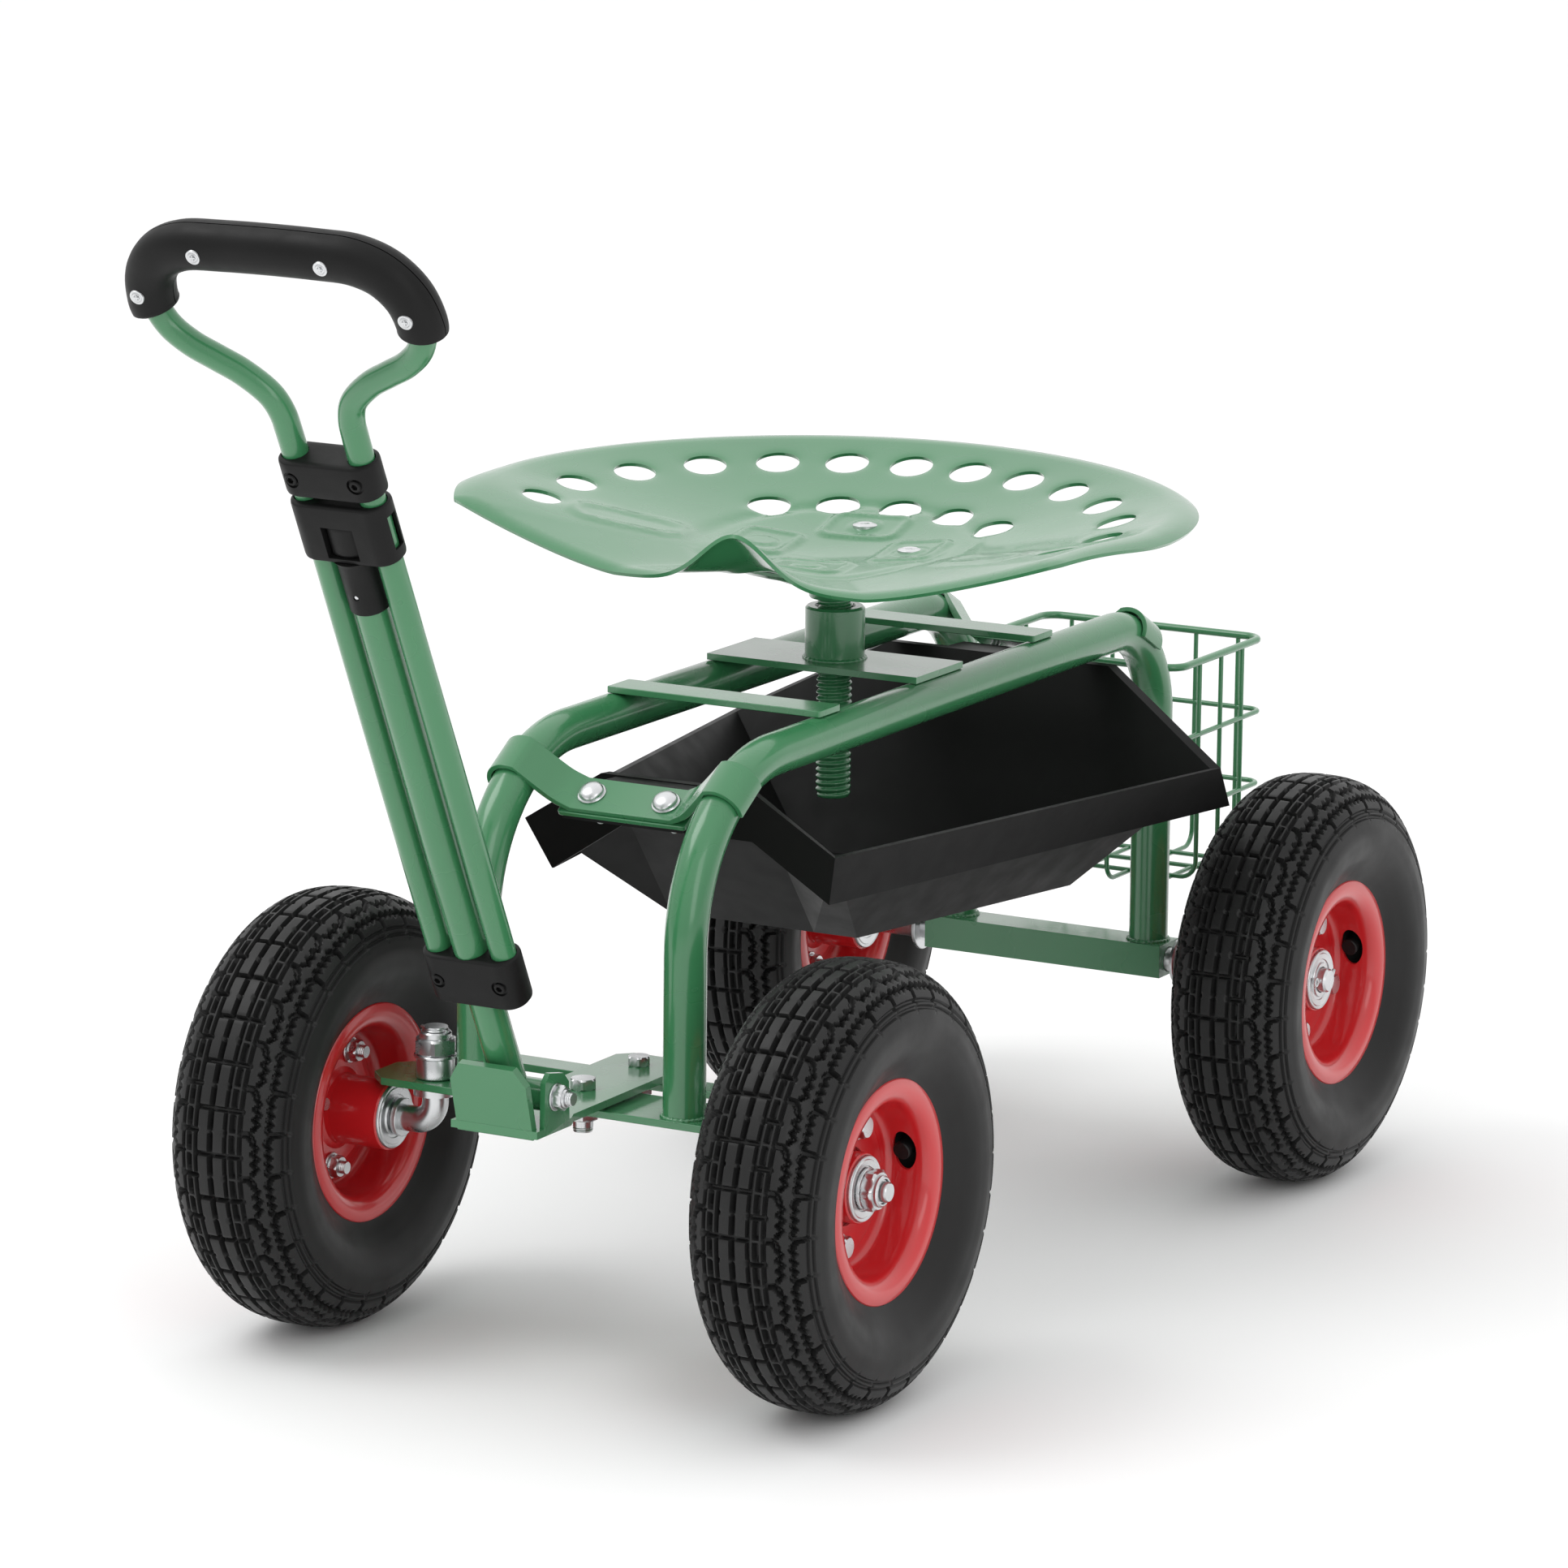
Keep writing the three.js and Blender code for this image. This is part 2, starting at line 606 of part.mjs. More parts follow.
const SEAT_RINGS = [0.2, 0.42, 0.62, 0.82, 1];
function seatShell() {
  const count = 36;
  const loops = [];
  const loop = (t, drop, pull) => Array.from({ length: count }, (_, i) => {
    const a = (2 * Math.PI * (i + 0.5)) / count;
    const r = t * seatOutline(a) - pull;
    return [r * Math.cos(a), SEAT_C_Y + r * Math.sin(a), seatHeight(a, t) - drop];
  });
  for (const t of SEAT_RINGS) loops.push(loop(t, 0, 0));
  for (const t of [...SEAT_RINGS].reverse()) loops.push(loop(t, 2.6, t === 1 ? 1 : 0));
  return loft(loops);
}

// Drain slots: an upper row round the back and a lower row inside it.
function slotTool(angle, t, long, wide) {
  const r = t * seatOutline(angle);
  const side = (long - wide) / 2;
  const outline = [...arc([side, 0], wide / 2, -90, 90, 3), ...arc([-side, 0], wide / 2, 90, 270, 3)];
  const g = slab(outline, 400, 120);
  g.rotateZ(angle + Math.PI / 2);
  return g.translate(r * Math.cos(angle), SEAT_C_Y + r * Math.sin(angle), 0);
}

function seatGeometry() {
  const tools = [];
  for (let i = 0; i < 14; i += 1) {
    tools.push(slotTool(THREE.MathUtils.degToRad(-11.4 + 15.6 * i), 0.78, 27, 24));
  }
  for (let i = 0; i < 5; i += 1) {
    tools.push(slotTool(THREE.MathUtils.degToRad(42.8 + 23.6 * i), 0.5, 27, 24));
  }
  return shape([seatShell()], tools);
}

function supportPlateGeometry() {
  const [end, cut] = [62, 14];
  const outline = [
    [-end + cut, -end], [end - cut, -end], [end, -end + cut], [end, end - cut],
    [end - cut, end], [-end + cut, end], [-end, end - cut], [-end, -end + cut],
  ];
  const plate = slab(outline, 422, 4);
  const boss = bar("z", 16, 405, 422.5, [0, 0]);
  return shape([plate, boss], [bar("z", SCREW_R + GAP, 400, SCREW_TOP + GAP, [0, 0])]);
}

// ---------------------------------------------------------------- assembly
const cart = new THREE.Group();

for (const [name, x] of [["left_rail", RAIL_X], ["right_rail", -RAIL_X]]) {
  cart.add(piece(name, railGeometry(), green, [x, 0, 0]));
}
for (const [name, y, width, bore] of [
  ["seat_bar_front", -137, 26, 0], ["seat_bar_middle", 0, 60, 19.4], ["seat_bar_rear", 137, 26, 0],
]) {
  cart.add(piece(name, seatBarGeometry(width, bore), green, [0, y, SEAT_BAR_Z]));
}
const collar = [[SCREW_R + 0.5, 361], [18.2, 361], [18.2, 400], [SCREW_R + 0.5, 400]];
cart.add(piece("seat_nut_collar", turned(collar, "z", 20), green));
cart.add(piece("front_crossplate", crossplateGeometry(), green));
cart.add(piece("rear_axle_beam", rearBeamGeometry(), green));
cart.add(piece("rear_axle", bar("x", ROD_R, -198.5, 198.5, [0, 0]), zinc, [0, HALF_BASE, AXLE_Z]));

const onBend = (centreY, radius, degrees) => {
  const a = THREE.MathUtils.degToRad(degrees);
  const y = centreY + radius * Math.cos(a);
  return { y, z: RAIL_TOP_Z - radius + radius * Math.sin(a), turn: a - Math.PI / 2 };
};
const frontStrap = onBend(FRONT_LEG_Y + FRONT_BEND_R, FRONT_BEND_R, 122);
const rearStrap = onBend(REAR_LEG_Y - REAR_BEND_R, REAR_BEND_R, 62);
for (const [tag, place] of [["front", frontStrap], ["rear", rearStrap]]) {
  const seatOn = new THREE.Group();
  seatOn.position.set(0, place.y, place.z);
  seatOn.rotation.x = place.turn;
  seatOn.add(piece(`${tag}_tray_strap`, strapGeometry(), green));
  if (tag === "front") seatOn.add(piece("front_clamp_plate", clampPlateGeometry(), green));
  cart.add(seatOn);
}
cart.add(piece("tray", trayGeometry(frontStrap, rearStrap), blackSteel));
cart.add(piece("basket", basketGeometry(), green));

const rearWheelLeft = wheel("rl", 1);
rearWheelLeft.position.set(REAR_TRACK, HALF_BASE, AXLE_Z);
const rearWheelRight = wheel("rr", -1);
rearWheelRight.position.set(-REAR_TRACK, HALF_BASE, AXLE_Z);
cart.add(rearWheelLeft, rearWheelRight);

cart.add(piece("tongue_pivot_bolt", tonguePivotGeometry(), zinc, [0, -HALF_BASE, 0]));
cart.add(piece("tie_bar", tieBarGeometry(), zinc, [0, -HALF_BASE + STEER_ARM, 0]));
cart.add(piece("tie_bar_bolt", tieBarBoltGeometry(), zinc, [0, -HALF_BASE + STEER_ARM, 0]));
cart.add(piece("steering_yoke", yokeGeometry(), green));

for (const [tag, wheelTag, side] of [["left", "fl", 1], ["right", "fr", -1]]) {
  const knuckle = new THREE.Group();
  knuckle.position.set(side * KINGPIN_X, -HALF_BASE, 0);
  knuckle.add(piece(`spindle_${tag}`, spindleGeometry(side), zinc, [0, 0, AXLE_Z]));
  knuckle.add(piece(`kingpin_nut_${tag}`, kingpinNutGeometry(), zinc));
  const front = wheel(wheelTag, side);
  const reach = FRONT_TRACK - KINGPIN_X;
  front.position.set(side * reach, 0, AXLE_Z);
  knuckle.add(front);
  const nutX = side > 0 ? reach + HUB_OUT + 1.8 : -(reach + HUB_OUT + 1.8) - 8;
  knuckle.add(piece(`hub_nut_${wheelTag}`, hubNutGeometry(), zinc, [nutX, 0, AXLE_Z]));
  cart.add(knuckle);
}

const bolt = shape([
  bar("x", 4.1, -30, 38, [0, 0], 12),
  hexNut(13, 0, 5.5).rotateY(Math.PI / 2).translate(-34.5, 0, 0),
  hexNut(13, 0, 6.5).rotateY(Math.PI / 2).translate(28.9, 0, 0),
]);
cart.add(piece("handle_pivot_bolt", bolt, zinc, HANDLE_PIVOT));

const handle = new THREE.Group();
handle.position.set(
  0,
  HANDLE_PIVOT[1] - PIVOT_DROP * Math.sin(HANDLE_LEAN),
  HANDLE_PIVOT[2] + PIVOT_DROP * Math.cos(HANDLE_LEAN),
);
handle.rotation.x = HANDLE_LEAN;
handle.add(piece("handle_post", postGeometry(), green));
handle.add(piece("lock_housing", housingGeometry(), blackPlastic));
const [buttonLow, buttonHigh] = [HOUSING[0] + 3.9, HOUSING[0] + 23.1];
handle.add(piece("lock_button", box([-9.6, -11.2, buttonLow], [9.6, -4, buttonHigh]), blackPlastic));
handle.add(piece("lower_slide_block", lowerBlockGeometry(), blackPlastic));
handle.add(piece("cross_clamp", clampGeometry(), blackPlastic));
handle.add(piece("handle_loop", sweep(ringShape(SIDE_TUBE_R, 6.5, 8), loopRoute()), green));
handle.add(piece("grip_front", gripGeometry(-1), blackPlastic));
handle.add(piece("grip_rear", gripGeometry(1), blackPlastic));
cart.add(handle);

cart.add(piece("seat_screw", bar("z", SCREW_R, SCREW_BOTTOM, SCREW_TOP, [0, 0]), green));
cart.add(piece("seat_support_plate", supportPlateGeometry(), green));
cart.add(piece("seat", seatGeometry(), green));

// The origin is on the floor under the middle of the outline.
cart.updateMatrixWorld(true);
const size = new THREE.Box3().setFromObject(cart, true);
cart.position.y = -(size.min.y + size.max.y) / 2;
cart.position.x = -(size.min.x + size.max.x) / 2;

const gardenCart = new THREE.Group();
gardenCart.add(cart);
export default gardenCart;
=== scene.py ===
"""Looks of the garden work cart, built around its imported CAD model."""
import json
import math

import bmesh
import bpy
from mathutils import Matrix, Vector
from mathutils.geometry import delaunay_2d_cdt


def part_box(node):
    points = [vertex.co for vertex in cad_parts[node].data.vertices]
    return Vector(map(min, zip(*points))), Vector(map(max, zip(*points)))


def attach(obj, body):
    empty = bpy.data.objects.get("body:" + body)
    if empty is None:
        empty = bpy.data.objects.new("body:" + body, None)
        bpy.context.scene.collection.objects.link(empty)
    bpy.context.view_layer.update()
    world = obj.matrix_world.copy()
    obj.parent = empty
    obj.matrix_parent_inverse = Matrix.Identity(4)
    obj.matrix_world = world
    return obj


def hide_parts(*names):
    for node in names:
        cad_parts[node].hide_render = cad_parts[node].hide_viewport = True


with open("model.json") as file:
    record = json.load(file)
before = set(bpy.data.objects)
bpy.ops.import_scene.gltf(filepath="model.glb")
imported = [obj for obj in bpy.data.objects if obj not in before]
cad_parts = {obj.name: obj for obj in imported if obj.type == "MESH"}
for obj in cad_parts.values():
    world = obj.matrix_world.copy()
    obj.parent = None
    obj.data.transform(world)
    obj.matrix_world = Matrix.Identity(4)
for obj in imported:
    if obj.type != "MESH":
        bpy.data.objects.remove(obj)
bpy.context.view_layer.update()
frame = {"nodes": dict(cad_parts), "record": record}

MM = 0.001

# The design frame is in millimetres, with its zero between the axles; the row frame's
# zero is under the middle of the outline, so the two differ by a shift along y.
HALF_BASE = 297
axle_low, axle_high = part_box("rear_axle")
SHIFT = (axle_low.y + axle_high.y) / 2 / MM - HALF_BASE
AXLE_Z = (axle_low.z + axle_high.z) / 2 / MM

RAIL_X, RAIL_R, RAIL_TOP = 69, 12.5, 351
FRONT_WHEEL_X, REAR_WHEEL_X, KINGPIN_X = 172, 178.6, 100
ROD_R = 7.75
PLATE_TOP, BEAM_TOP = 157, 141
HANDLE_PIVOT = Vector((0, -376, 180))
HANDLE_LEAN = math.radians(26)
PIVOT_DROP = 25
SIDE_TUBE_X, SIDE_TUBE_R, POST_R = 21, 7.4, 10
SEAT_C_Y, SEAT_FLOOR = -16, 431
SCREW_R = 10.8


# ---------------------------------------------------------------- materials
def range_node(tree, value, low, high, start, end):
    """Spreads a value from start to end over low to high."""
    node = tree.nodes.new("ShaderNodeMapRange")
    for name, number in (("From Min", start), ("From Max", end), ("To Min", low), ("To Max", high)):
        node.inputs[name].default_value = number
    tree.links.new(value, node.inputs["Value"])
    return node.outputs["Result"]


class Nodes:
    """A material's node tree, with short calls for the nodes used here."""

    def __init__(self, name):
        self.material = bpy.data.materials.new(name)
        self.material.use_nodes = True
        self.tree = self.material.node_tree
        self.shader = self.tree.nodes["Principled BSDF"]
        self.place = self.tree.nodes.new("ShaderNodeTexCoord").outputs["Object"]

    def link(self, source, target):
        self.tree.links.new(source, target)

    def noise(self, scale, detail=3, stretch=(1, 1, 1)):
        mapping = self.tree.nodes.new("ShaderNodeMapping")
        mapping.inputs["Scale"].default_value = stretch
        self.link(self.place, mapping.inputs["Vector"])
        node = self.tree.nodes.new("ShaderNodeTexNoise")
        node.inputs["Scale"].default_value = scale
        node.inputs["Detail"].default_value = detail
        self.link(mapping.outputs["Vector"], node.inputs["Vector"])
        return node.outputs["Fac"]

    def cells(self, scale):
        node = self.tree.nodes.new("ShaderNodeTexVoronoi")
        node.inputs["Scale"].default_value = scale
        self.link(self.place, node.inputs["Vector"])
        return node.outputs["Distance"]

    def ranged(self, value, low, high, start=0.3, end=0.7):
        return range_node(self.tree, value, low, high, start, end)

    def mixed(self, factor, first, second):
        node = self.tree.nodes.new("ShaderNodeMix")
        node.data_type = "RGBA"
        self.link(factor, node.inputs["Factor"])
        for socket, colour in ((node.inputs[6], first), (node.inputs[7], second)):
            if isinstance(colour, tuple):
                socket.default_value = (*colour, 1)
            else:
                self.link(colour, socket)
        return node.outputs[2]

    def drift(self, scale, detail, low, high, start=0.3, end=0.7):
        """Noise spread from low to high."""
        return self.ranged(self.noise(scale, detail), low, high, start, end)

    def bump(self, height, strength, distance):
        node = self.tree.nodes.new("ShaderNodeBump")
        node.inputs["Strength"].default_value = strength
        node.inputs["Distance"].default_value = distance
        self.link(height, node.inputs["Height"])
        return node.outputs["Normal"]

    def set(self, **values):
        for name, value in values.items():
            self.shader.inputs[name.replace("_", " ")].default_value = value

    def finished(self, colour, rough, normal, **values):
        self.link(colour, self.shader.inputs["Base Color"])
        self.link(rough, self.shader.inputs["Roughness"])
        self.link(normal, self.shader.inputs["Normal"])
        self.set(**values)
        return self.material


def tint(colour, factor):
    return tuple(min(1.0, c * factor) for c in colour)


def powder_coat(name, colour, rough, coat):
    """Glossy powder coat: faint orange peel and slow drifts of colour and gloss."""
    n = Nodes(name)
    drift = n.mixed(n.drift(7, 2, 0, 1), tint(colour, 0.95), tint(colour, 1.05))
    gloss = n.drift(25, 2, rough - 0.02, rough + 0.04)
    peel = n.bump(n.noise(300, 2), 0.012, 0.0002)
    return n.finished(drift, gloss, peel, Coat_Weight=coat, Coat_Roughness=0.11, Specular_IOR_Level=0.5)


def plated_steel(name, colour, rough):
    """Bright zinc plate, satin, with faint clouds and fine turning marks."""
    n = Nodes(name)
    clouds = n.mixed(n.drift(60, 3, 0, 1), tint(colour, 0.94), tint(colour, 1.03))
    gloss = n.drift(90, 3, rough - 0.03, rough + 0.06)
    marks = n.bump(n.noise(900, 2, (3, 1, 1)), 0.03, 0.0001)
    return n.finished(clouds, gloss, marks, Metallic=1.0)


def textured_coat(name, colour, rough):
    """Satin black powder coat with a fine grained texture and a trace of dust."""
    n = Nodes(name)
    dust = n.mixed(n.drift(14, 5, 0, 0.3, 0.5, 0.85), colour, tint(colour, 1.6))
    gloss = n.drift(60, 3, rough - 0.04, rough + 0.06)
    grain = n.bump(n.noise(1500, 3), 0.12, 0.0002)
    return n.finished(dust, gloss, grain, Specular_IOR_Level=0.12)


def moulded_plastic(name, colour, rough):
    """Spark-textured moulded nylon."""
    n = Nodes(name)
    clouds = n.mixed(n.drift(40, 4, 0, 1), tint(colour, 0.9), tint(colour, 1.15))
    gloss = n.drift(90, 3, rough - 0.04, rough + 0.06)
    sparks = n.bump(n.cells(1500), 0.15, 0.0002)
    return n.finished(clouds, gloss, sparks, Specular_IOR_Level=0.17)


def tread_rubber(name, colour, rough):
    """Vulcanised rubber: faintly mottled, finely pitted, with painted shade that darkens it down in its
    grooves.
    """
    n = Nodes(name)
    bloom = n.mixed(n.drift(22, 5, 0, 0.5, 0.42, 0.8), colour, tint(colour, 1.35))
    # Painted shade: where the surface is hollow (low pointiness), the colour is blended towards a near-black
    # copy, standing in for the shade inside the grooves.
    hollow = n.tree.nodes.new("ShaderNodeNewGeometry").outputs["Pointiness"]
    painted_groove_shade = n.mixed(n.ranged(hollow, 0, 1, 0.36, 0.45), tint(colour, 0.15), bloom)
    gloss = n.drift(50, 3, rough - 0.04, rough + 0.08)
    pits = n.bump(n.noise(900, 3), 0.08, 0.0003)
    return n.finished(painted_groove_shade, gloss, pits, Specular_IOR_Level=0.27)


# The look of each material slot of the record.
LOOKS = {
    "green_paint": powder_coat("green_powder_coat", (0.042, 0.205, 0.082), 0.26, 0.6),
    "red_paint": powder_coat("red_powder_coat", (0.56, 0.014, 0.018), 0.3, 0.7),
    "zinc_steel": plated_steel("zinc_plate", (0.66, 0.67, 0.68), 0.28),
    "black_steel": textured_coat("black_powder_coat", (0.007, 0.007, 0.007), 0.42),
    "black_plastic": moulded_plastic("black_nylon", (0.008, 0.008, 0.008), 0.45),
    "tyre": tread_rubber("tread_rubber", (0.014, 0.014, 0.014), 0.42),
    "butyl": tread_rubber("butyl_rubber", (0.007, 0.007, 0.007), 0.5),
}


# ---------------------------------------------------------------- solids
# A solid is a pair (points, faces) in millimetres.
def joined(*solids):
    points, faces = [], []
    for p, f in solids:
        start = len(points)
        points += list(p)
        faces += [[i + start for i in face] for face in f]
    return points, faces


def moved(solid, matrix):
    points = [matrix @ Vector(p) for p in solid[0]]
    faces = solid[1] if matrix.determinant() > 0 else [list(reversed(f)) for f in solid[1]]
    return points, faces


def at(x, y, z):
    return Matrix.Translation((x, y, z))


def turn(axis, degrees):
    return Matrix.Rotation(math.radians(degrees), 4, axis)


FACE_DOWN = turn("X", 180)
FACE_FRONT = turn("X", 90)
MIRRORED = Matrix.Scale(-1, 4, (0, 0, 1))


def outboard(side):
    """Turns z along the axle to the cart's left (side 1) or right (side -1); x points rearwards."""
    return Matrix(((0, 0, side), (1, 0, 0), (0, 1, 0))).to_4x4()


def loft(loops, closed=False):
    """Skin over loops that have the same number of points, with ends unless it is closed."""
    n, count = len(loops[0]), len(loops)
    points = [p for loop in loops for p in loop]
    faces = []
    for row in range(count if closed else count - 1):
        a, b = row * n, ((row + 1) % count) * n
        for i in range(n):
            j = (i + 1) % n
            faces.append([a + i, a + j, b + j, b + i])
    if not closed:
        faces.append(list(range(n))[::-1])
        faces.append([(count - 1) * n + i for i in range(n)])
    return points, faces


def polar(radius, angle):
    return radius * math.cos(angle), radius * math.sin(angle)


def ring(radius, z, n=48, phase=0.0):
    return [(*polar(radius, 2 * math.pi * (i + phase) / n), z) for i in range(n)]


def turned(profile, n=64, closed=True):
    """A profile of (radius, along z) points turned about z; open ones are capped."""
    return loft([ring(r, z, n) for r, z in profile], closed=closed)


def arc(cx, cy, radius, start, end, count):
    angles = [math.radians(start + (end - start) * i / count) for i in range(count + 1)]
    return [(cx + radius * math.cos(a), cy + radius * math.sin(a)) for a in angles]


def sweep(path, section, closed=False):
    """A section of (side, up) points along a path, turning as little as it can."""
    path = [Vector(p) for p in path]
    count = len(path)
    loops, side = [], None
    for i, p in enumerate(path):
        before = path[(i - 1) % count] if closed or i else path[0]
        after = path[(i + 1) % count] if closed or i < count - 1 else path[-1]
        along = (after - before).normalized()
        if side is None:
            side = along.orthogonal().normalized()
            for axis in (Vector((1, 0, 0)), Vector((0, 1, 0)), Vector((0, 0, 1))):
                if abs(along.dot(axis)) < 0.3:
                    side = (axis - along * along.dot(axis)).normalized()
                    break
        side = (side - along * along.dot(side)).normalized()
        up = along.cross(side)
        loops.append([p + side * a + up * b for a, b in section])
    return loft(loops, closed=closed)


def rod(path, radius, n=20, closed=False, dome=0.0):
    """A round bar along a path; its ends are flat, or domed by that height."""
    circle = [(x, y) for x, y, _ in ring(radius, 0, n)]
    bar = sweep(path, circle, closed)
    if not dome:
        return bar
    profile = [(radius, -1), (radius, 0), (radius * 0.72, dome * 0.7), (radius * 0.2, dome)]
    caps = []
    for tip, inner in ((path[0], path[1]), (path[-1], path[-2])):
        out = (Vector(tip) - Vector(inner)).normalized()
        facing = out.to_track_quat("Z", "X").to_matrix().to_4x4()
        caps.append(moved(turned(profile, n, False), Matrix.Translation(tip) @ facing))
    return joined(bar, *caps)


def spline(points, steps):
    """A smooth curve through the points, by centripetal weights."""
    pts = [Vector(p) for p in points]
    pts = [pts[0] * 2 - pts[1]] + pts + [pts[-1] * 2 - pts[-2]]
    out = []
    for i in range(1, len(pts) - 2):
        p0, p1, p2, p3 = pts[i - 1:i + 3]
        t1 = (p1 - p0).length ** 0.5
        t2 = t1 + (p2 - p1).length ** 0.5
        t3 = t2 + (p3 - p2).length ** 0.5
        for k in range(steps):
            t = t1 + (t2 - t1) * k / steps
            a1 = p0 * ((t1 - t) / t1) + p1 * (t / t1)
            a2 = p1 * ((t2 - t) / (t2 - t1)) + p2 * ((t - t1) / (t2 - t1))
            a3 = p2 * ((t3 - t) / (t3 - t2)) + p3 * ((t - t2) / (t3 - t2))
            b1 = a1 * ((t2 - t) / t2) + a2 * (t / t2)
            b2 = a2 * ((t3 - t) / (t3 - t1)) + a3 * ((t - t1) / (t3 - t1))
            out.append(b1 * ((t2 - t) / (t2 - t1)) + b2 * ((t - t1) / (t2 - t1)))
    out.append(pts[-2])
    return out


def rounded(points, radius, steps=8, closed=False):
    """A polyline with its corners rounded."""
    pts = [Vector(p) for p in points]
    out = []
    for i, p in enumerate(pts):
        if not closed and i in (0, len(pts) - 1):
            out.append(p)
            continue
        to_before = (pts[i - 1] - p).normalized()
        to_after = (pts[(i + 1) % len(pts)] - p).normalized()
        half = to_before.angle(to_after) / 2
        reach = radius / math.tan(half)
        start, end = p + to_before * reach, p + to_after * reach
        centre = p + (to_before + to_after).normalized() * (radius / math.sin(half))
        for k in range(steps + 1):
            f = k / steps
            spoke = (start - centre).lerp(end - centre, f)
            out.append(centre + spoke.normalized() * radius)
    return out


def prism(outline, low, high):
    """A flat outline in x and y made solid from low to high."""
    return loft([[(x, y, low) for x, y in outline], [(x, y, high) for x, y in outline]])


def hexagon_loop(across, z, limit=math.inf, n=48):
    """A hexagon's outline as n points, none further out than the limit."""
    loop = []
    for i in range(n):
        a = 2 * math.pi * i / n
        r = min(across / 2 / math.cos((a % (math.pi / 3)) - math.pi / 6), limit)
        loop.append((*polar(r, a), z))
    return loop


def hexagon(across, low, high, chamfer=0.9):
    """A hexagon with turned chamfers, on z."""
    full = across / math.sqrt(3) + 0.1
    near = across / 2 * 0.97
    stops = [(low, near), (low + chamfer, full), (high - chamfer, full), (high, near)]
    return loft([hexagon_loop(across, z, limit) for z, limit in stops])


def threaded(radius, depth, pitch, low, high, n=40):
    """A right-hand thread on z, whose crests fade out over the last turn at each end."""
    rows_per_turn, end_taper = 8, 0.9
    rows = int((high - low) / pitch * rows_per_turn)
    loops = []
    for row in range(rows + 1):
        z = low + (high - low) * row / rows
        fade = min(1.0, (high - z) / pitch + 0.25, (z - low) / pitch + 0.25)
        loop = []
        for i in range(n):
            phase = (z / pitch - i / n) % 1.0
            crest = min(1.0, 2.6 * abs(phase - 0.5))
            r = radius - depth * (1 - crest) * fade - depth * (1 - fade) * end_taper
            loop.append((*polar(r, 2 * math.pi * i / n), z))
        loops.append(loop)
    return loft(loops)


def nut_on_thread(across, height, radius, depth, pitch, length):
    """A nut from z = 0, with its bolt's end standing out of it."""
    return joined(hexagon(across, 0, height), threaded(radius, depth, pitch, 0, length, 24))


def washer(inner, outer, low, high):
    c = 0.35
    return turned([
        (inner, low), (outer - c, low), (outer, low + c), (outer, high - c),
        (outer - c, high), (inner, high),
    ], 48)


def dome_head(radius, height, low=0.0):
    """A low round head with a flat rim, on z."""
    profile = [(radius, low - 0.4), (radius, low + height * 0.25)]
    for k in range(1, 7):
        a = math.radians(12 * k)
        profile.append((radius * math.cos(a), low + height * (0.25 + 0.75 * math.sin(a))))
    return turned(profile + [(radius * 0.12, low + height)], 40, False)


def socket_screw(radius, height):
    """A cylinder-head screw with a hexagon socket, head on +z, sunk to -1."""
    return loft([
        ring(radius, -1), ring(radius, height - 0.5), ring(radius - 0.5, height),
        hexagon_loop(radius * 0.98, height), hexagon_loop(radius * 0.96, height - 2.0),
    ])


def cross_bars(a, b, low, high):
    """The cross in a screw's head, as two bars that reach a out and b to each side."""
    return joined(
        prism([(-a, -b), (a, -b), (a, b), (-a, b)], low, high),
        prism([(-b, -a), (b, -a), (b, a), (-b, a)], low, high - 0.05),
    )


def link_object(name, data):
    obj = bpy.data.objects.new(name, data)
    bpy.context.scene.collection.objects.link(obj)
    return obj


def cut(solid, tools, name):
    """The solid less the tools, by an exact boolean, as a solid again."""
    def temporary(part):
        mesh = bpy.data.meshes.new(name)
        mesh.from_pydata([tuple(p) for p in part[0]], [], part[1])
        return link_object(name, mesh)

    body = temporary(solid)
    made = [body]
    for tool in tools:
        other = temporary(tool)
        made.append(other)
        step = body.modifiers.new("cut", "BOOLEAN")
        step.operation = "DIFFERENCE"
        step.solver = "EXACT"
        step.object = other
    graph = bpy.context.evaluated_depsgraph_get()
    result = body.evaluated_get(graph).to_mesh()
    points = [tuple(v.co) for v in result.vertices]
    faces = [list(f.vertices) for f in result.polygons]
    body.evaluated_get(graph).to_mesh_clear()
    for obj in made:
        mesh = obj.data
        bpy.data.objects.remove(obj)
        bpy.data.meshes.remove(mesh)
    return points, faces


def round_edges(obj, width, angle):
    """Rounds the edges that are sharper than the angle."""
    edge = obj.modifiers.new("edges", "BEVEL")
    edge.width = width * MM
    edge.segments = 2
    edge.limit_method = "ANGLE"
    edge.angle_limit = math.radians(angle)
    edge.harden_normals = True


def show(name, solid, slot, body, stands_for=(), sharp=32, bevel=0.0):
    """Makes a piece from a solid in the design frame; its slot says its look."""
    mesh = bpy.data.meshes.new(name)
    points = [(p[0] * MM, (p[1] + SHIFT) * MM, p[2] * MM) for p in solid[0]]
    mesh.from_pydata(points, [], solid[1])
    mesh.validate()
    mesh.shade_smooth()
    if not bevel:
        mesh.set_sharp_from_angle(angle=math.radians(sharp))
    mesh.materials.append(LOOKS[slot])
    obj = link_object(name, mesh)
    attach(obj, body)
    if stands_for:
        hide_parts(*stands_for)
    if bevel:
        round_edges(obj, bevel, sharp)
    return obj


# ---------------------------------------------------------------- wheels
# A wheel's own frame has z along its axle, outboard, x to the cart's rear and y up.
PITCHES = 30
CELLS_PER_PITCH = 24
WHEEL_R = 130
PITCH = 2 * math.pi * WHEEL_R / PITCHES
BOLT_ANGLE, BOLT_CIRCLE = 72, 34.5
VALVE_ANGLE = 14
# Distances along the tyre's surface from its centre line, out to the end of the tread.
CENTRE_ROW, MID_ROW, OUTER_ROW, TREAD_END = 9.8, 14.6, 19.4, 52
SIDE_GROOVES = (45.2, 49.4)
GROOVE_SLOPE = 0.6


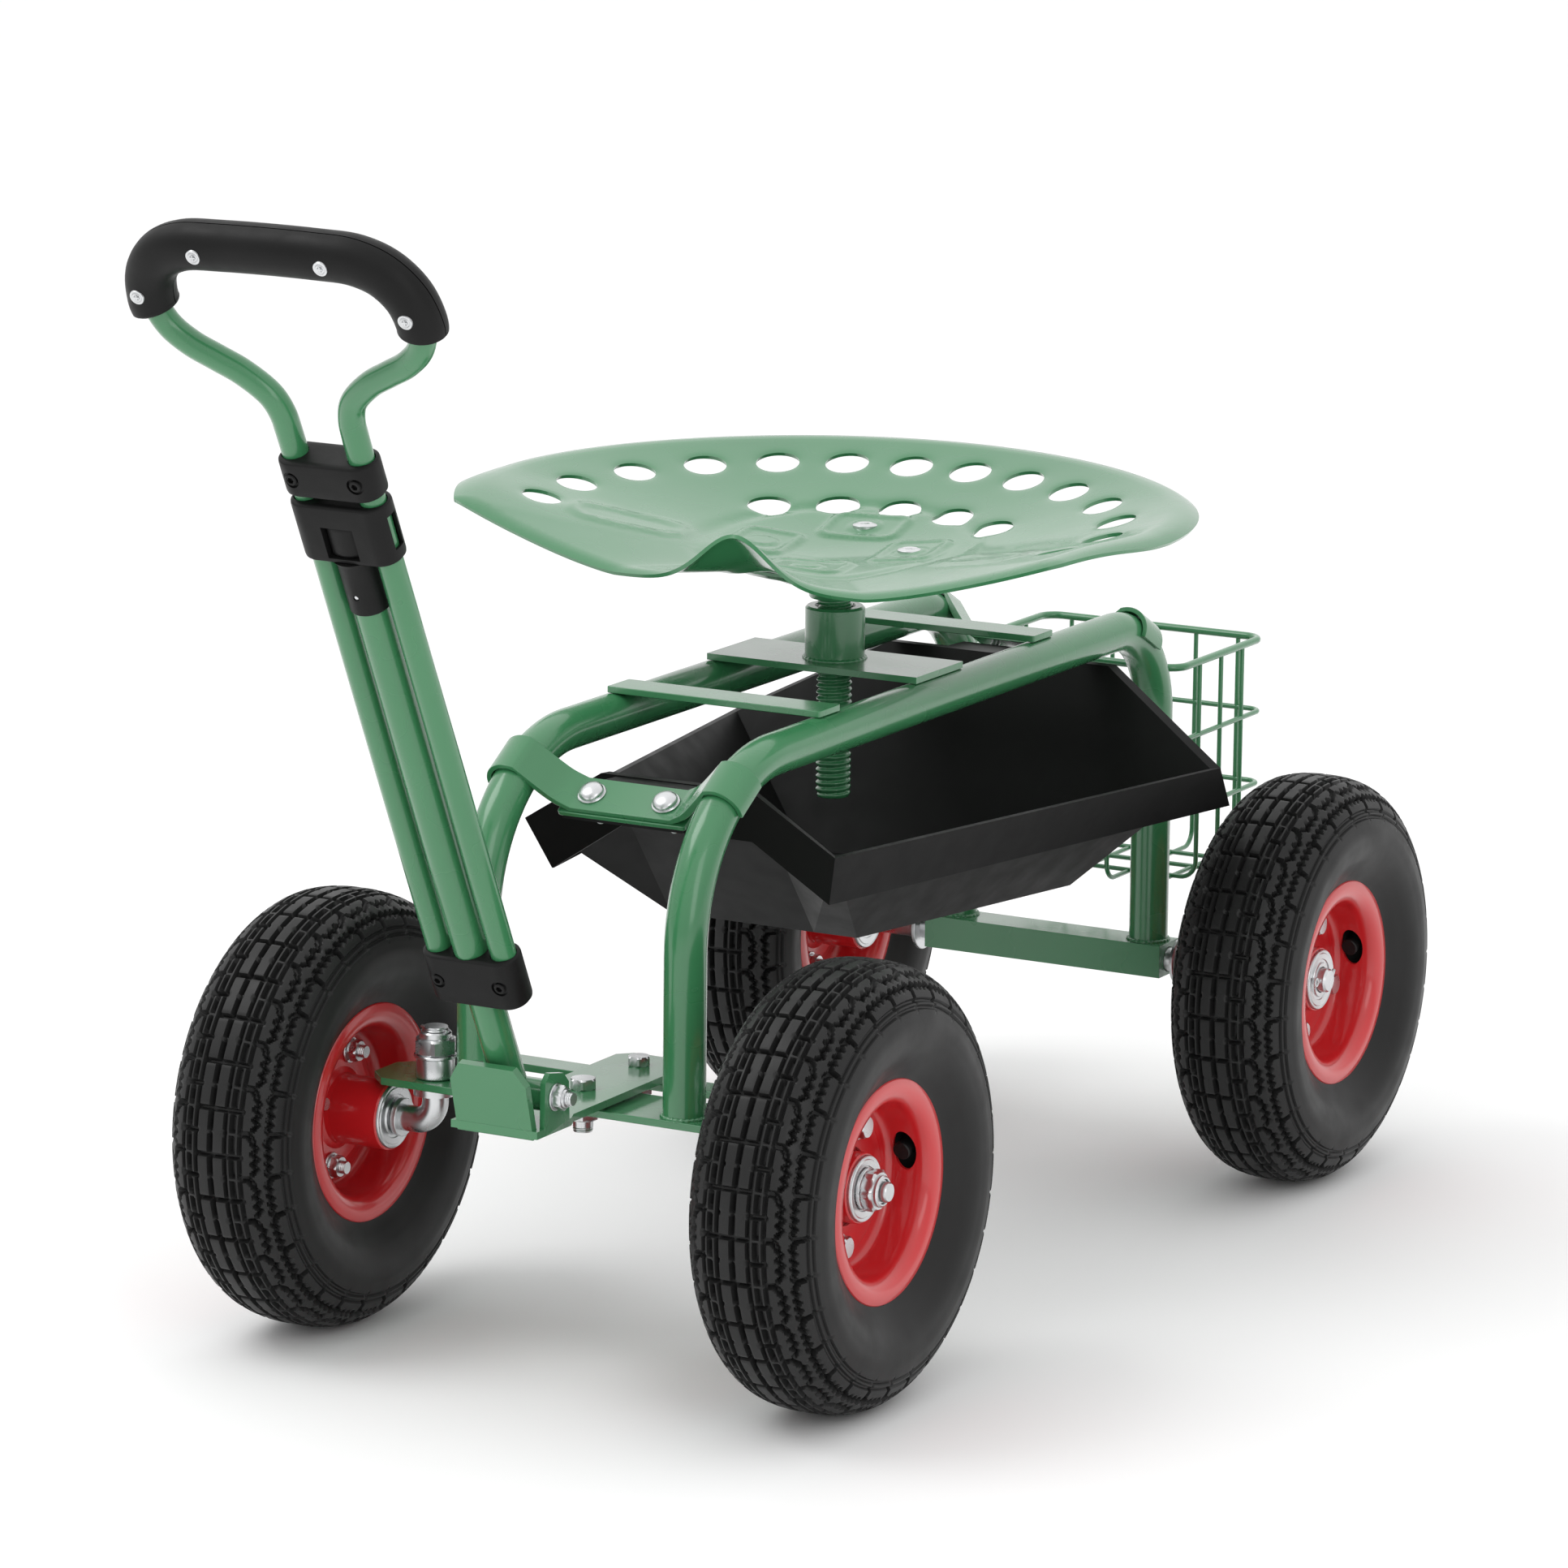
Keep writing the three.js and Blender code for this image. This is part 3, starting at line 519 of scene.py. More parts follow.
def near_segment(u, v, a, b):
    """Distance from (u, v) to the segment from a to b."""
    du, dv = b[0] - a[0], b[1] - a[1]
    length = du * du + dv * dv
    f = max(0.0, min(1.0, ((u - a[0]) * du + (v - a[1]) * dv) / length)) if length else 0.0
    return math.hypot(u - a[0] - f * du, v - a[1] - f * dv)


def zigzag(u, low, high, teeth, reach):
    step = (high - low) / (2 * teeth)
    return [(u + (reach if k % 2 else -reach), low + k * step) for k in range(2 * teeth + 1)]


def tread_grooves(p=PITCH):
    """Lines of one pitch as (points, half width, depth): u from the centre line, v around."""
    return [
        ([(0, 0), (CENTRE_ROW, 0)], 1.15, 4.2),
        ([(0, 2.8), (0, 11.2)], 1.5, 4.8),
        ([(0, 15.8), (0, 24.4)], 1.5, 4.8),
        ([(CENTRE_ROW, -2), (CENTRE_ROW, p + 2)], 0.6, 3.2),
        ([(CENTRE_ROW, p / 2), (OUTER_ROW, p / 2)], 1.15, 4.2),
        ([(MID_ROW, 2.2), (MID_ROW, 10.2)], 1.0, 4.4),
        ([(MID_ROW, 17.0), (MID_ROW, 25.0)], 1.0, 4.4),
        ([(OUTER_ROW, -2), (OUTER_ROW, p + 2)], 0.6, 3.2),
        ([(OUTER_ROW, -0.6), (24.0, -0.4), (26.2, 1.6), (27.2, 4.4)], 1.25, 4.6),
        (zigzag(28.4, 4.8, 23.8, 3, 1.8), 0.7, 3.8),
        (zigzag(36.2, 5.8, 22.6, 3, 1.7), 0.7, 3.6),
        ([(35.0, 4.8), (38.2, -0.4), (44.8, -0.6)], 1.35, 4.6),
        ([(35.0, p - 3.8), (38.2, p - 0.6)], 1.2, 4.2),
        ([(44.4, -0.6), (50.6, -0.6)], 0.6, 1.4),
    ]


def tread_depth(u, v, grooves):
    """How far the surface lies below the tread at u across and v around."""
    depth = 0.0
    for points, half, deep in grooves:
        for a, b in zip(points, points[1:]):
            if u < min(a[0], b[0]) - 2.6 or u > max(a[0], b[0]) + 2.6:
                continue
            for w in (v, v - PITCH, v + PITCH):
                wall = half + GROOVE_SLOPE - near_segment(u, w, a, b)
                if wall > 0:
                    depth = max(depth, deep * min(1.0, wall / GROOVE_SLOPE))
    for line in SIDE_GROOVES:
        wall = 1.2 - abs(u - line)
        if wall > 0:
            depth = max(depth, 1.6 * min(1.0, wall / 0.5))
    return depth


def tyre_stations():
    """The tyre's outside from its centre line to the bead: (arc length, point, outward)."""
    knots = [
        (130, -13), (130, 0), (129.2, 13), (126.6, 22.6), (121.6, 30.2), (114.2, 36),
        (106, 39.6), (97, 41.4), (88, 41), (80, 38), (73.4, 33.4), (69, 30.4), (66.6, 28.6),
    ]
    fine = [p for p in spline([(r, a, 0) for r, a in knots], 40) if p.y >= -1e-6]
    lengths = [0.0]
    for a, b in zip(fine, fine[1:]):
        lengths.append(lengths[-1] + (b - a).length)
    stops = [1.04 * k for k in range(51)] + [54, 57, 60, 63.5, 67, 70, 73, 76, 80, 84, 88, 92, 96]
    stations = []
    k = 0
    for s in stops:
        if s >= lengths[-1]:
            break
        while lengths[k + 1] < s:
            k += 1
        f = (s - lengths[k]) / (lengths[k + 1] - lengths[k])
        slope = (fine[k + 1] - fine[k]).normalized()
        stations.append((s, fine[k].lerp(fine[k + 1], f), Vector((slope.y, -slope.x, 0))))
    return stations


def sidewall_ribs(s):
    """Height of the two thin ribs on the sidewall."""
    return 0.5 * math.exp(-((s - 60) / 1.6) ** 2) + 0.45 * math.exp(-((s - 88) / 1.2) ** 2)


def tyre_loop(station, side, grooves):
    """One loop round the tyre, on one side of its centre line."""
    s, p, out = station
    around = PITCHES * CELLS_PER_PITCH
    # Outside the centre row, the pattern is half a pitch on from one side to the other.
    offset = PITCH / 2 if side < 0 and s >= CENTRE_ROW - 1.2 else 0.0
    depths = []
    for c in range(CELLS_PER_PITCH):
        v = PITCH * (c + 0.5) / CELLS_PER_PITCH
        if offset:
            v = (v + offset) % PITCH
        depths.append(tread_depth(s, v, grooves) if s < TREAD_END else -sidewall_ribs(s))
    loop = []
    for c in range(around):
        depth = depths[c % CELLS_PER_PITCH]
        x, y = polar(p.x - out.x * depth, 2 * math.pi * (c + 0.5) / around)
        loop.append((x, y, side * (p.y - out.y * depth)))
    return loop


def tyre_solid():
    """The moulded tyre, with its inside closing it."""
    grooves, stations = tread_grooves(), tyre_stations()
    loops = [tyre_loop(station, -1, grooves) for station in stations[:0:-1]]
    loops += [tyre_loop(station, 1, grooves) for station in stations]
    inside = [(62, 27.4), (52.2, 25.2), (52.2, 20), (80, 31), (103, 35.5), (122, 12)]
    inside += [(r, -z) for r, z in reversed(inside)]
    loops += [ring(r, z, PITCHES * CELLS_PER_PITCH, 0.5) for r, z in inside]
    return loft(loops, closed=True)


def rim_profile():
    """The pressed steel rim half, from its centre disc out to its rolled flange."""
    disc = [(23, 2.2), (39.4, 2.2), (40.6, 1.6), (41.4, 0.9), (44.4, 0.9)]
    barrel = [
        (49.7, 18), (50.1, 22.4), (51.6, 26.2), (54.4, 28.7), (58.2, 29.9), (62, 29.9),
        (64.6, 29.2), (65.6, 28.0), (64.8, 27.2),
    ]
    behind = [
        (62, 28.2), (58.2, 28.2), (55.2, 27.0), (53, 24.6), (51.8, 21), (51.4, 16), (51.4, 1.2),
        (50.8, 0.3), (23, 0.3),
    ]
    return disc + arc(44.4, 6.2, 5.3, -90, 0, 7) + barrel + behind


def valve_hole():
    """An oval cutter through the barrel where the valve looks out."""
    middle, half_around, half_along = 13, 12.2, 7.2
    towards = turn("Z", VALVE_ANGLE)
    loops = []
    for r in (42, 60):
        oval = [(r, half_around * u, middle + half_along * w) for u, w, _ in ring(1, 0, 36)]
        loops.append([towards @ Vector(p) for p in oval])
    return loft(loops)


def wheel_nut(across, height):
    return joined(
        washer(3.6, across * 0.66, 0, 1.4),
        hexagon(across, 1.4, 1.4 + height),
        threaded(3.9, 0.45, 1.25, 0, height + 5.5, 24),
    )


def hub_solid():
    """The hub barrel with its flange, a rounded square whose corners carry the bolts."""
    barrel = turned([
        (14.4, -43), (19.7, -43), (20.5, -42.2), (20.5, 11.4), (19.9, 12), (14.4, 12),
    ], 64)
    fillet = turned([(20.3, -11.5), (21.2, -8.2), (24.5, -6.0), (20.3, -5.6)], 64)
    outline = []
    for k in range(4):
        middle = BOLT_ANGLE + 90 * k
        x, y = polar(31, math.radians(middle))
        outline += arc(x, y, 10, middle - 52, middle + 52, 10)
    flange = loft([
        [(x * share, y * share, z) for x, y in outline]
        for share, z in ((0.985, -6), (1, -5.4), (1, -2.4))
    ])
    return joined(barrel, fillet, flange)


def bearing_solid():
    """Both pressed-in bearings: outer ring, shield with a groove, inner ring, and the spacer."""
    half = [
        (8.35, 0), (8.35, 15.5), (10.6, 15.5), (10.8, 14.7), (11.2, 14.3), (12.8, 14.3),
        (13.2, 14.9), (16.6, 15.2), (17.2, 14.6), (18.2, 14.6), (18.9, 15.0), (19.4, 14.2),
        (19.4, 12.4), (14.1, 12.4), (14.1, 0),
    ]
    outboard = turned([(r, z - 1.2 if z > 12.3 else z) for r, z in half], 64)
    inboard = turned([(r, -(z + 29.6) if z > 12.3 else (-z - 0.5)) for r, z in half], 64)
    return joined(outboard, inboard)


def wheel_bolts():
    parts = []
    head = joined(washer(3.6, 8.0, 0, 1.3), hexagon(12, 1.3, 7.0))
    for k in range(4):
        spot = at(*polar(BOLT_CIRCLE, math.radians(BOLT_ANGLE + 90 * k)), 0)
        parts.append(moved(head, spot @ at(0, 0, 2.4)))
        parts.append(moved(wheel_nut(12, 6), spot @ at(0, 0, -6.2) @ FACE_DOWN))
        parts.append(moved(rod([(0, 0, -6), (0, 0, 3)], 3.5, 16), spot))
    return joined(*parts)


def valve_solid():
    """The inner tube, and its rubber valve stem with a cap, which looks out through the barrel."""
    tube = turned([
        (58, 0), (64, 15), (76, 25), (90, 29), (106, 25), (117, 12),
        (119, 0), (117, -12), (106, -25), (90, -29), (76, -25), (64, -15),
    ], 64)
    profile = [
        (6.4, 60), (6.2, 57), (5.0, 55), (4.5, 53.4), (4.5, 50.6), (5.3, 50.2), (5.4, 47.4), (4.8, 46.6),
    ]
    stem = turned([(r, -reach) for r, reach in profile], 28, False)
    a = math.radians(VALVE_ANGLE)
    out = Matrix(((0, math.sin(a), -math.cos(a)), (0, -math.cos(a), -math.sin(a)), (-1, 0, 0))).to_4x4()
    return joined(tube, moved(stem, at(0, 0, 12) @ out))


RIM = turned(rim_profile(), 128)
# Each wheel's pieces: name, solid, slot, the node that it stands for, its sharp angle and
# whether it faces inboard.
WHEEL_PIECES = (
    ("tyre_tread", tyre_solid(), "tyre", "tyre", 50, False),
    ("rim_outer_shell", cut(RIM, [valve_hole()], "rim"), "red_paint", "rim_outer", 32, False),
    ("rim_inner_shell", RIM, "red_paint", "rim_inner", 32, True),
    ("hub_shell", hub_solid(), "red_paint", "hub", 32, False),
    ("hub_bearings", bearing_solid(), "zinc_steel", "bearings", 32, False),
    ("wheel_bolts", wheel_bolts(), "zinc_steel", None, 32, False),
    ("tube_valve", valve_solid(), "butyl", "inner_tube", 32, False),
)


def build_wheel(tag, side, x, y):
    """All of a wheel's pieces; side is +1 on the cart's left."""
    place = at(side * x, y, AXLE_Z) @ outboard(side)
    for name, solid, slot, node, sharp, inboard in WHEEL_PIECES:
        solid = moved(solid, place @ MIRRORED if inboard else place)
        stands_for = [f"{node}_{tag}"] if node else ()
        show(f"{name}_{tag}", solid, slot, f"wheel_{tag}", stands_for, sharp)


for end, x, y in (("f", FRONT_WHEEL_X, -HALF_BASE), ("r", REAR_WHEEL_X, HALF_BASE)):
    build_wheel(f"{end}l", 1, x, y)
    build_wheel(f"{end}r", -1, x, y)


# ---------------------------------------------------------------- frame
# Each bend of the rails, as the y of its centre and its radius; the legs stand outside them.
FRONT_BEND, REAR_BEND = (-200, 100), (237, 62)
FRONT_LEG_Y, REAR_LEG_Y = FRONT_BEND[0] - FRONT_BEND[1], REAR_BEND[0] + REAR_BEND[1]


def rail_path():
    front = arc(FRONT_BEND[0], RAIL_TOP - FRONT_BEND[1], FRONT_BEND[1], 180, 90, 24)
    rear = arc(REAR_BEND[0], RAIL_TOP - REAR_BEND[1], REAR_BEND[1], 90, 0, 18)
    route = [(FRONT_LEG_Y, PLATE_TOP + 0.3)] + front + rear + [(REAR_LEG_Y, BEAM_TOP + 0.3)]
    return [(0, y, z) for y, z in route]


def weld_bead(radius, thickness, bumps):
    """A rippled fillet weld round a tube's foot, on z = 0."""
    n = 96
    loops = []
    for k in range(9):
        a = math.radians(-15 + 120 * k / 8)
        loop = []
        for i in range(n):
            t = 2 * math.pi * i / n
            ripple = 1 + 0.16 * math.sin(bumps * t)
            r = radius - 0.4 + thickness * math.cos(a) * ripple
            loop.append((*polar(r, t), thickness * 0.9 * math.sin(a) * ripple))
        loops.append(loop)
    loops.append(ring(radius * 0.9, -0.2, n))
    return loft(loops, closed=True)


for name, x in (("left_rail", RAIL_X), ("right_rail", -RAIL_X)):
    tube = moved(rod(rail_path(), RAIL_R, 40), at(x, 0, 0))
    bead = weld_bead(RAIL_R, 1.9, 26)
    front_weld = moved(bead, at(x, FRONT_LEG_Y, PLATE_TOP + 0.1))
    rear_weld = moved(bead, at(x, REAR_LEG_Y, BEAM_TOP + 0.1))
    show(f"{name}_tube", joined(tube, front_weld, rear_weld), "green_paint", "frame", [name], 60)


def flat_bar(half, width, low, high, corner):
    """A bar with rounded corners, lying flat across the cart."""
    x, y = half - corner, width / 2 - corner
    outline = []
    for cx, cy, start in ((x, -y, -90), (x, y, 0), (-x, y, 90), (-x, -y, 180)):
        outline += arc(cx, cy, corner, start, start + 90, 5)
    return prism(outline, low, high)


BAR_HALF, BAR_Z, BAR_T = 72, 363.8, 4
for name, y in (("front", -137), ("rear", 137)):
    bar = moved(flat_bar(BAR_HALF, 26, BAR_Z, BAR_Z + BAR_T, 1.5), at(0, y, 0))
    show(f"seat_bar_{name}_plate", bar, "green_paint", "frame", [f"seat_bar_{name}"], 40, 0.5)


def holed_plate(half_depth=30, hole_r=19.4, n=64):
    """The middle seat bar, with the collar's hole through it."""
    outer = []
    for i in range(n):
        c, s = polar(1, 2 * math.pi * i / n)
        r = min(BAR_HALF / max(abs(c), 1e-6), half_depth / max(abs(s), 1e-6))
        outer.append((r * c, r * s))
    low, high = BAR_Z, BAR_Z + BAR_T
    return loft([
        [(*p, low) for p in outer], [(*p, high) for p in outer],
        ring(hole_r, high, n), ring(hole_r, low, n),
    ], closed=True)


collar = turned([
    (SCREW_R + 0.5, 361), (17.6, 361), (18.2, 361.6), (18.2, 398.6), (16.8, 400),
    (12.6, 400), (SCREW_R + 0.5, 398.4),
], 96)
show("seat_bar_middle_plate", holed_plate(), "green_paint", "frame", ["seat_bar_middle"], 40)
collar_weld = moved(weld_bead(18.2, 1.8, 30), at(0, 0, BAR_Z + BAR_T))
show("seat_collar", joined(collar, collar_weld), "green_paint", "frame", ["seat_nut_collar"], 40)


STRAP_W, STRAP_FLAT, STRAP_T, STRAP_BOLT_X = 26.4, -12.4, 3, 24.7


def strap_frame(bend, degrees):
    """A strap's own frame on a rail's bend: x across, y along the rail, z out from it."""
    centre_y, radius = bend
    y, z = polar(radius, math.radians(degrees))
    return at(0, centre_y + y, RAIL_TOP - radius + z) @ turn("X", degrees - 90)


STRAPS = (("front", strap_frame(FRONT_BEND, 122)), ("rear", strap_frame(REAR_BEND, 62)))


def strap_solid():
    """Over one rail, down to the flat between them, and over the other."""
    def side(radius, end, knots):
        over = arc(RAIL_X, 0, radius, -10, end, 20)
        down = spline([(*over[-1], 0)] + [(x, z, 0) for x, z in knots], 4)
        return over + [(p.x, p.y) for p in down[1:]]

    inner = RAIL_R + 0.3
    upper = side(inner + STRAP_T, 112, [(52, 2.6), (42, -7.2), (33, STRAP_FLAT)])
    lower = side(inner, 118, [(54, -1.2), (44.4, -10.2), (34.6, STRAP_FLAT - STRAP_T)])
    half = list(reversed(lower)) + upper
    outline = half + [(-x, z) for x, z in reversed(half)]
    return loft([[(x, y, z) for x, z in outline] for y in (-STRAP_W / 2, STRAP_W / 2)])


def strap_bolt():
    """A pan-head bolt with its washer and nut, through a strap's flat."""
    head = joined(washer(4, 8.6, 0, 1.2), dome_head(7.6, 4.6, 1.2))
    return joined(
        moved(head, at(0, 0, STRAP_FLAT)),
        moved(nut_on_thread(11, 5, 3, 0.4, 1.0, 9), at(0, 0, STRAP_FLAT - STRAP_T - 9.2) @ FACE_DOWN),
        rod([(0, 0, STRAP_FLAT - 14), (0, 0, STRAP_FLAT + 1)], 2.9, 16),
    )


for tag, place in STRAPS:
    show(f"{tag}_strap", moved(strap_solid(), place), "green_paint", "frame", [f"{tag}_tray_strap"], 40, 0.45)
    bolts = [moved(strap_bolt(), place @ at(x, 0, 0)) for x in (-STRAP_BOLT_X, STRAP_BOLT_X)]
    show(f"{tag}_strap_bolts", joined(*bolts), "zinc_steel", "frame")

plate = flat_bar(42.6, STRAP_W + 2, STRAP_FLAT - 6.3, STRAP_FLAT - 3.3, 2)
show("front_clamp_strip", moved(plate, STRAPS[0][1]), "green_paint", "frame", ["front_clamp_plate"], 40, 0.5)


def from_cad(node, name, slot, body, bevel, sharp=25, flat=2.0):
    """A piece with a plate's CAD outline, its flats made whole again and its edges rounded."""
    source = frame["nodes"][node]
    solid = bmesh.new()
    solid.from_mesh(source.data)
    bmesh.ops.remove_doubles(solid, verts=solid.verts, dist=2e-6)
    limit = math.radians(flat)
    bmesh.ops.dissolve_limit(solid, angle_limit=limit, verts=solid.verts, edges=solid.edges)
    points = [(v.co.x / MM, v.co.y / MM - SHIFT, v.co.z / MM) for v in solid.verts]
    solid.verts.index_update()
    faces = [[v.index for v in f.verts] for f in solid.faces]
    solid.free()
    show(name, (points, faces), slot, body, [node], sharp, bevel)


from_cad("tray", "tray_sheet", "black_steel", "frame", 0.45, 20, 0.8)
from_cad("front_crossplate", "crossplate", "green_paint", "frame", 0.6)
from_cad("rear_axle_beam", "rear_beam_channel", "green_paint", "frame", 0.9)


def rear_axle():
    """The rear axle rod with stepped ends, and the washers and split pins that hold the wheels."""
    half = [(ROD_R, 195.6), (ROD_R - 0.2, 196), (ROD_R - 0.2, 197.2), (ROD_R - 1.2, 198.5)]
    parts = [turned([(r, -z) for r, z in reversed(half)] + half, 48, False)]
    split_pin = rod(rounded([(-10.5, 1, 195), (11.5, 1, 195), (13.5, 4, 195)], 1.6, 4), 1.25, 12, dome=0.7)
    eye = moved(rod(ring(2.4, 195, 16), 0.9, 10, True), at(-12.6, 1, 0))
    for side in (-1, 1):
        end = joined(washer(ROD_R, 15, 92.2, 94.6), washer(ROD_R - 0.1, 11.4, 132, 135.2), split_pin, eye)
        parts.append(moved(end, Matrix.Scale(side, 4, (0, 0, 1))))
    return joined(*parts)


axle_place = at(0, HALF_BASE, AXLE_Z) @ outboard(1)
show("rear_axle_rod", moved(rear_axle(), axle_place), "zinc_steel", "frame", ["rear_axle"])


# ---------------------------------------------------------------- basket
BASKET_X, BASKET_FRONT, BASKET_BACK = 79, 314.4, 440
BASKET_BOTTOM, BASKET_TOP = 172, 316


def basket_solid():
    x, front, back = BASKET_X, BASKET_FRONT, BASKET_BACK
    low, top = BASKET_BOTTOM, BASKET_TOP
    parts = []
    for z, r, corner in ((top, 2.5, 12), (268, 1.7, 9), (220, 1.7, 9)):
        loop = rounded([(-x, front, z), (x, front, z), (x, back, z), (-x, back, z)], corner, 8, True)
        parts.append(rod(loop, r, 14, True))
    paths = []
    for wx in (-61, -30.5, 0, 30.5, 61):
        paths.append([(wx, front, top), (wx, front, low), (wx, back, low), (wx, back, top)])
    for wy in (345.8, 377.2, 408.6):
        paths.append([(-x, wy, top), (-x, wy, low + 0.9), (x, wy, low + 0.9), (x, wy, top)])
    parts += [rod(rounded(path, 11, 7), 1.55, 10, dome=0.8) for path in paths]
    return joined(*parts)


show("basket_wire", basket_solid(), "green_paint", "frame", ["basket"], 60)


# ---------------------------------------------------------------- steering
from_cad("steering_yoke", "yoke_plate", "green_paint", "steering", 0.55, 28, 3.0)
from_cad("tie_bar", "tie_bar_strip", "green_paint", "tie_link", 0.6)

def yoke_bolt(head, nut, shank):
    """A bolt down through the yoke: its head, its nut and its shank with a thread below."""
    under_head = 163.7
    head_across, head_height = head
    nut_across, nut_low, nut_high = nut
    radius, shank_low, depth, pitch, low, high, n = shank
    return joined(
        moved(hexagon(head_across, 0, head_height), at(0, 0, under_head)),
        rod([(0, 0, shank_low), (0, 0, under_head + 1)], radius, n - 8),
        hexagon(nut_across, nut_low, nut_high),
        threaded(radius, depth, pitch, low, high, n),
    )


pivot_bolt = yoke_bolt((14.5, 6.4), (17, 145.6, 152.1), (5.9, 141.5, 0.5, 1.5, 138.5, 146, 32))
show("tongue_pivot_hardware", moved(pivot_bolt, at(0, -HALF_BASE, 0)), "zinc_steel", "frame",
     ["tongue_pivot_bolt"])
bar_bolt = yoke_bolt((12.5, 5.8), (15, 146.5, 152), (4.7, 144, 0.45, 1.25, 141, 147, 28))
show("tie_bar_hardware", moved(bar_bolt, at(0, -233, 0)), "zinc_steel", "steering", ["tie_bar_bolt"])


def spindle_solid(side):
    """The bent rod that is kingpin and stub axle in one, with its steering arm and pin."""
    down = 180 if side > 0 else 0
    bend = arc(side * 13, 13, 13, down, down + side * 90, 14)
    path = [(0, 0, 52)] + [(x, 0, z) for x, z in bend] + [(side * 88, 0, 0)]
    stub = joined(
        threaded(ROD_R - 0.3, 0.7, 1.75, 86, 96.5, 36),
        turned([(5.2, 95), (5.9, 96), (5.9, 100.4), (5.1, 101.4)], 36, False),
        washer(ROD_R, 11.4, 21.2, 24.6),
    )
    arm = prism(arc(0, 0, 13, 180, 360, 14) + arc(0, 64, 10, 0, 180, 12), 147.3, 151.9)
    return joined(
        rod(path, ROD_R, 36), threaded(ROD_R, 0.7, 1.75, 42, 58, 36),
        moved(stub, outboard(side)), moved(arm, at(0, 0, -AXLE_Z)),
        rod([(0, 64, 17.5), (0, 64, 29)], 4.7, 20), moved(hexagon(14, 0, 5), at(0, 64, 12.2)),
    )


def kingpin_solid():
    """The kingpin's sleeve, washer, nut, lock ring and split pin."""
    bore = ROD_R + 0.6
    return joined(
        turned([
            (bore, 157.3), (10.8, 157.3), (11.4, 158.0), (11.4, 168.6), (10.8, 169.6), (bore, 169.6),
        ], 48),
        washer(bore, 12.6, 169.7, 171.5),
        hexagon(23, 171.6, 181.2, 1.2),
        turned([(ROD_R + 0.1, 181), (9.6, 181), (9.6, 184.2), (8.8, 185.2), (ROD_R + 0.1, 185.2)], 48),
        rod([(9.5, -3, 186.0), (-10.5, 2, 186.0)], 1.1, 10, dome=0.6),
    )


def hub_nut_solid():
    """A flanged lock nut with its insert."""
    insert = [(ROD_R - 0.4, 9.4), (9.4, 9.4), (9.2, 11.2), (8.2, 12.2), (ROD_R - 0.4, 12.2)]
    return joined(washer(ROD_R, 12.4, 0.3, 2.4), hexagon(22, 2.2, 9.6, 1.2), turned(insert, 48))


for side, name, tag in ((1, "left", "fl"), (-1, "right", "fr")):
    spot = at(side * KINGPIN_X, -HALF_BASE, 0)
    knuckle = f"knuckle_{name}"
    spindle = moved(spindle_solid(side), spot @ at(0, 0, AXLE_Z))
    show(f"spindle_rod_{name}", spindle, "zinc_steel", knuckle, [f"spindle_{name}"], 40)
    show(f"kingpin_hardware_{name}", moved(kingpin_solid(), spot), "zinc_steel", knuckle,
         [f"kingpin_nut_{name}"])
    nut_place = at(side * (FRONT_WHEEL_X + 13.6), -HALF_BASE, AXLE_Z) @ outboard(side)
    show(f"hub_nut_hardware_{tag}", moved(hub_nut_solid(), nut_place), "zinc_steel", knuckle,
         [f"hub_nut_{tag}"])


# ---------------------------------------------------------------- handle
# The handle's own frame: x across, y square to it (rear positive), z up along it.
HANDLE = (
    Matrix.Translation(HANDLE_PIVOT) @ Matrix.Rotation(HANDLE_LEAN, 4, "X") @ at(0, 0, PIVOT_DROP)
)
LOW_BLOCK, HOUSING, CLAMP, NECK = (44, 77), (347, 384), (388.6, 411), (313, 347)
BLOCK_HALF, BLOCK_DEPTH = 30.2, 11.7


def handle_show(name, solid, slot, body, stands_for=(), sharp=32, bevel=0.0):
    show(name, moved(solid, HANDLE), slot, body, stands_for, sharp, bevel)


post = joined(
    rod([(0, 0, -34), (0, 0, 344)], POST_R, 40),
    moved(rod([(0, 0, -24.4), (0, 0, 24.4)], 9, 36), at(0, 0, -PIVOT_DROP) @ turn("Y", 90)),
)
handle_show("handle_post_tube", post, "green_paint", "handle", ["handle_post"], 50)

pivot_turn = Matrix.Translation(HANDLE_PIVOT) @ turn("Y", 90)
pivot_set = joined(
    rod([(0, 0, -32), (0, 0, 30)], 4.1, 24),
    hexagon(13, -34.6, -29), moved(washer(4.2, 8, -0.2, 1.2), at(0, 0, 28.6)),
    hexagon(13, 29.8, 35.4), turned([(3.9, 35.2), (5.6, 35.2), (5.2, 36.8), (3.9, 37)], 32),
    threaded(4.0, 0.45, 1.25, 34, 40.5, 28),
)
show("handle_pivot_hardware", moved(pivot_set, pivot_turn), "zinc_steel", "steering",
     ["handle_pivot_bolt"])


# The loop's centre line on one side, over the top under the grip and below it.
LOOP_TOP = [(84, 503), (80.6, 519), (70, 532), (54, 539), (30, 540.6)]
LOOP_SIDE = [
    (SIDE_TUBE_X, LOW_BLOCK[0] + 3), (SIDE_TUBE_X, 200), (SIDE_TUBE_X, 424), (SIDE_TUBE_X + 0.8, 436),
    (26, 447), (40, 460), (54, 468), (68, 476), (79, 487),
]


def both_sides(half, steps):
    """A smooth path up the right side and down the left one."""
    return spline([(-x, 0, s) for x, s in half] + [(x, 0, s) for x, s in reversed(half)], steps)


loop = rod(both_sides(LOOP_SIDE + LOOP_TOP, 6), SIDE_TUBE_R, 28)
handle_show("handle_loop_tube", loop, "green_paint", "handle_slider", ["handle_loop"], 60)


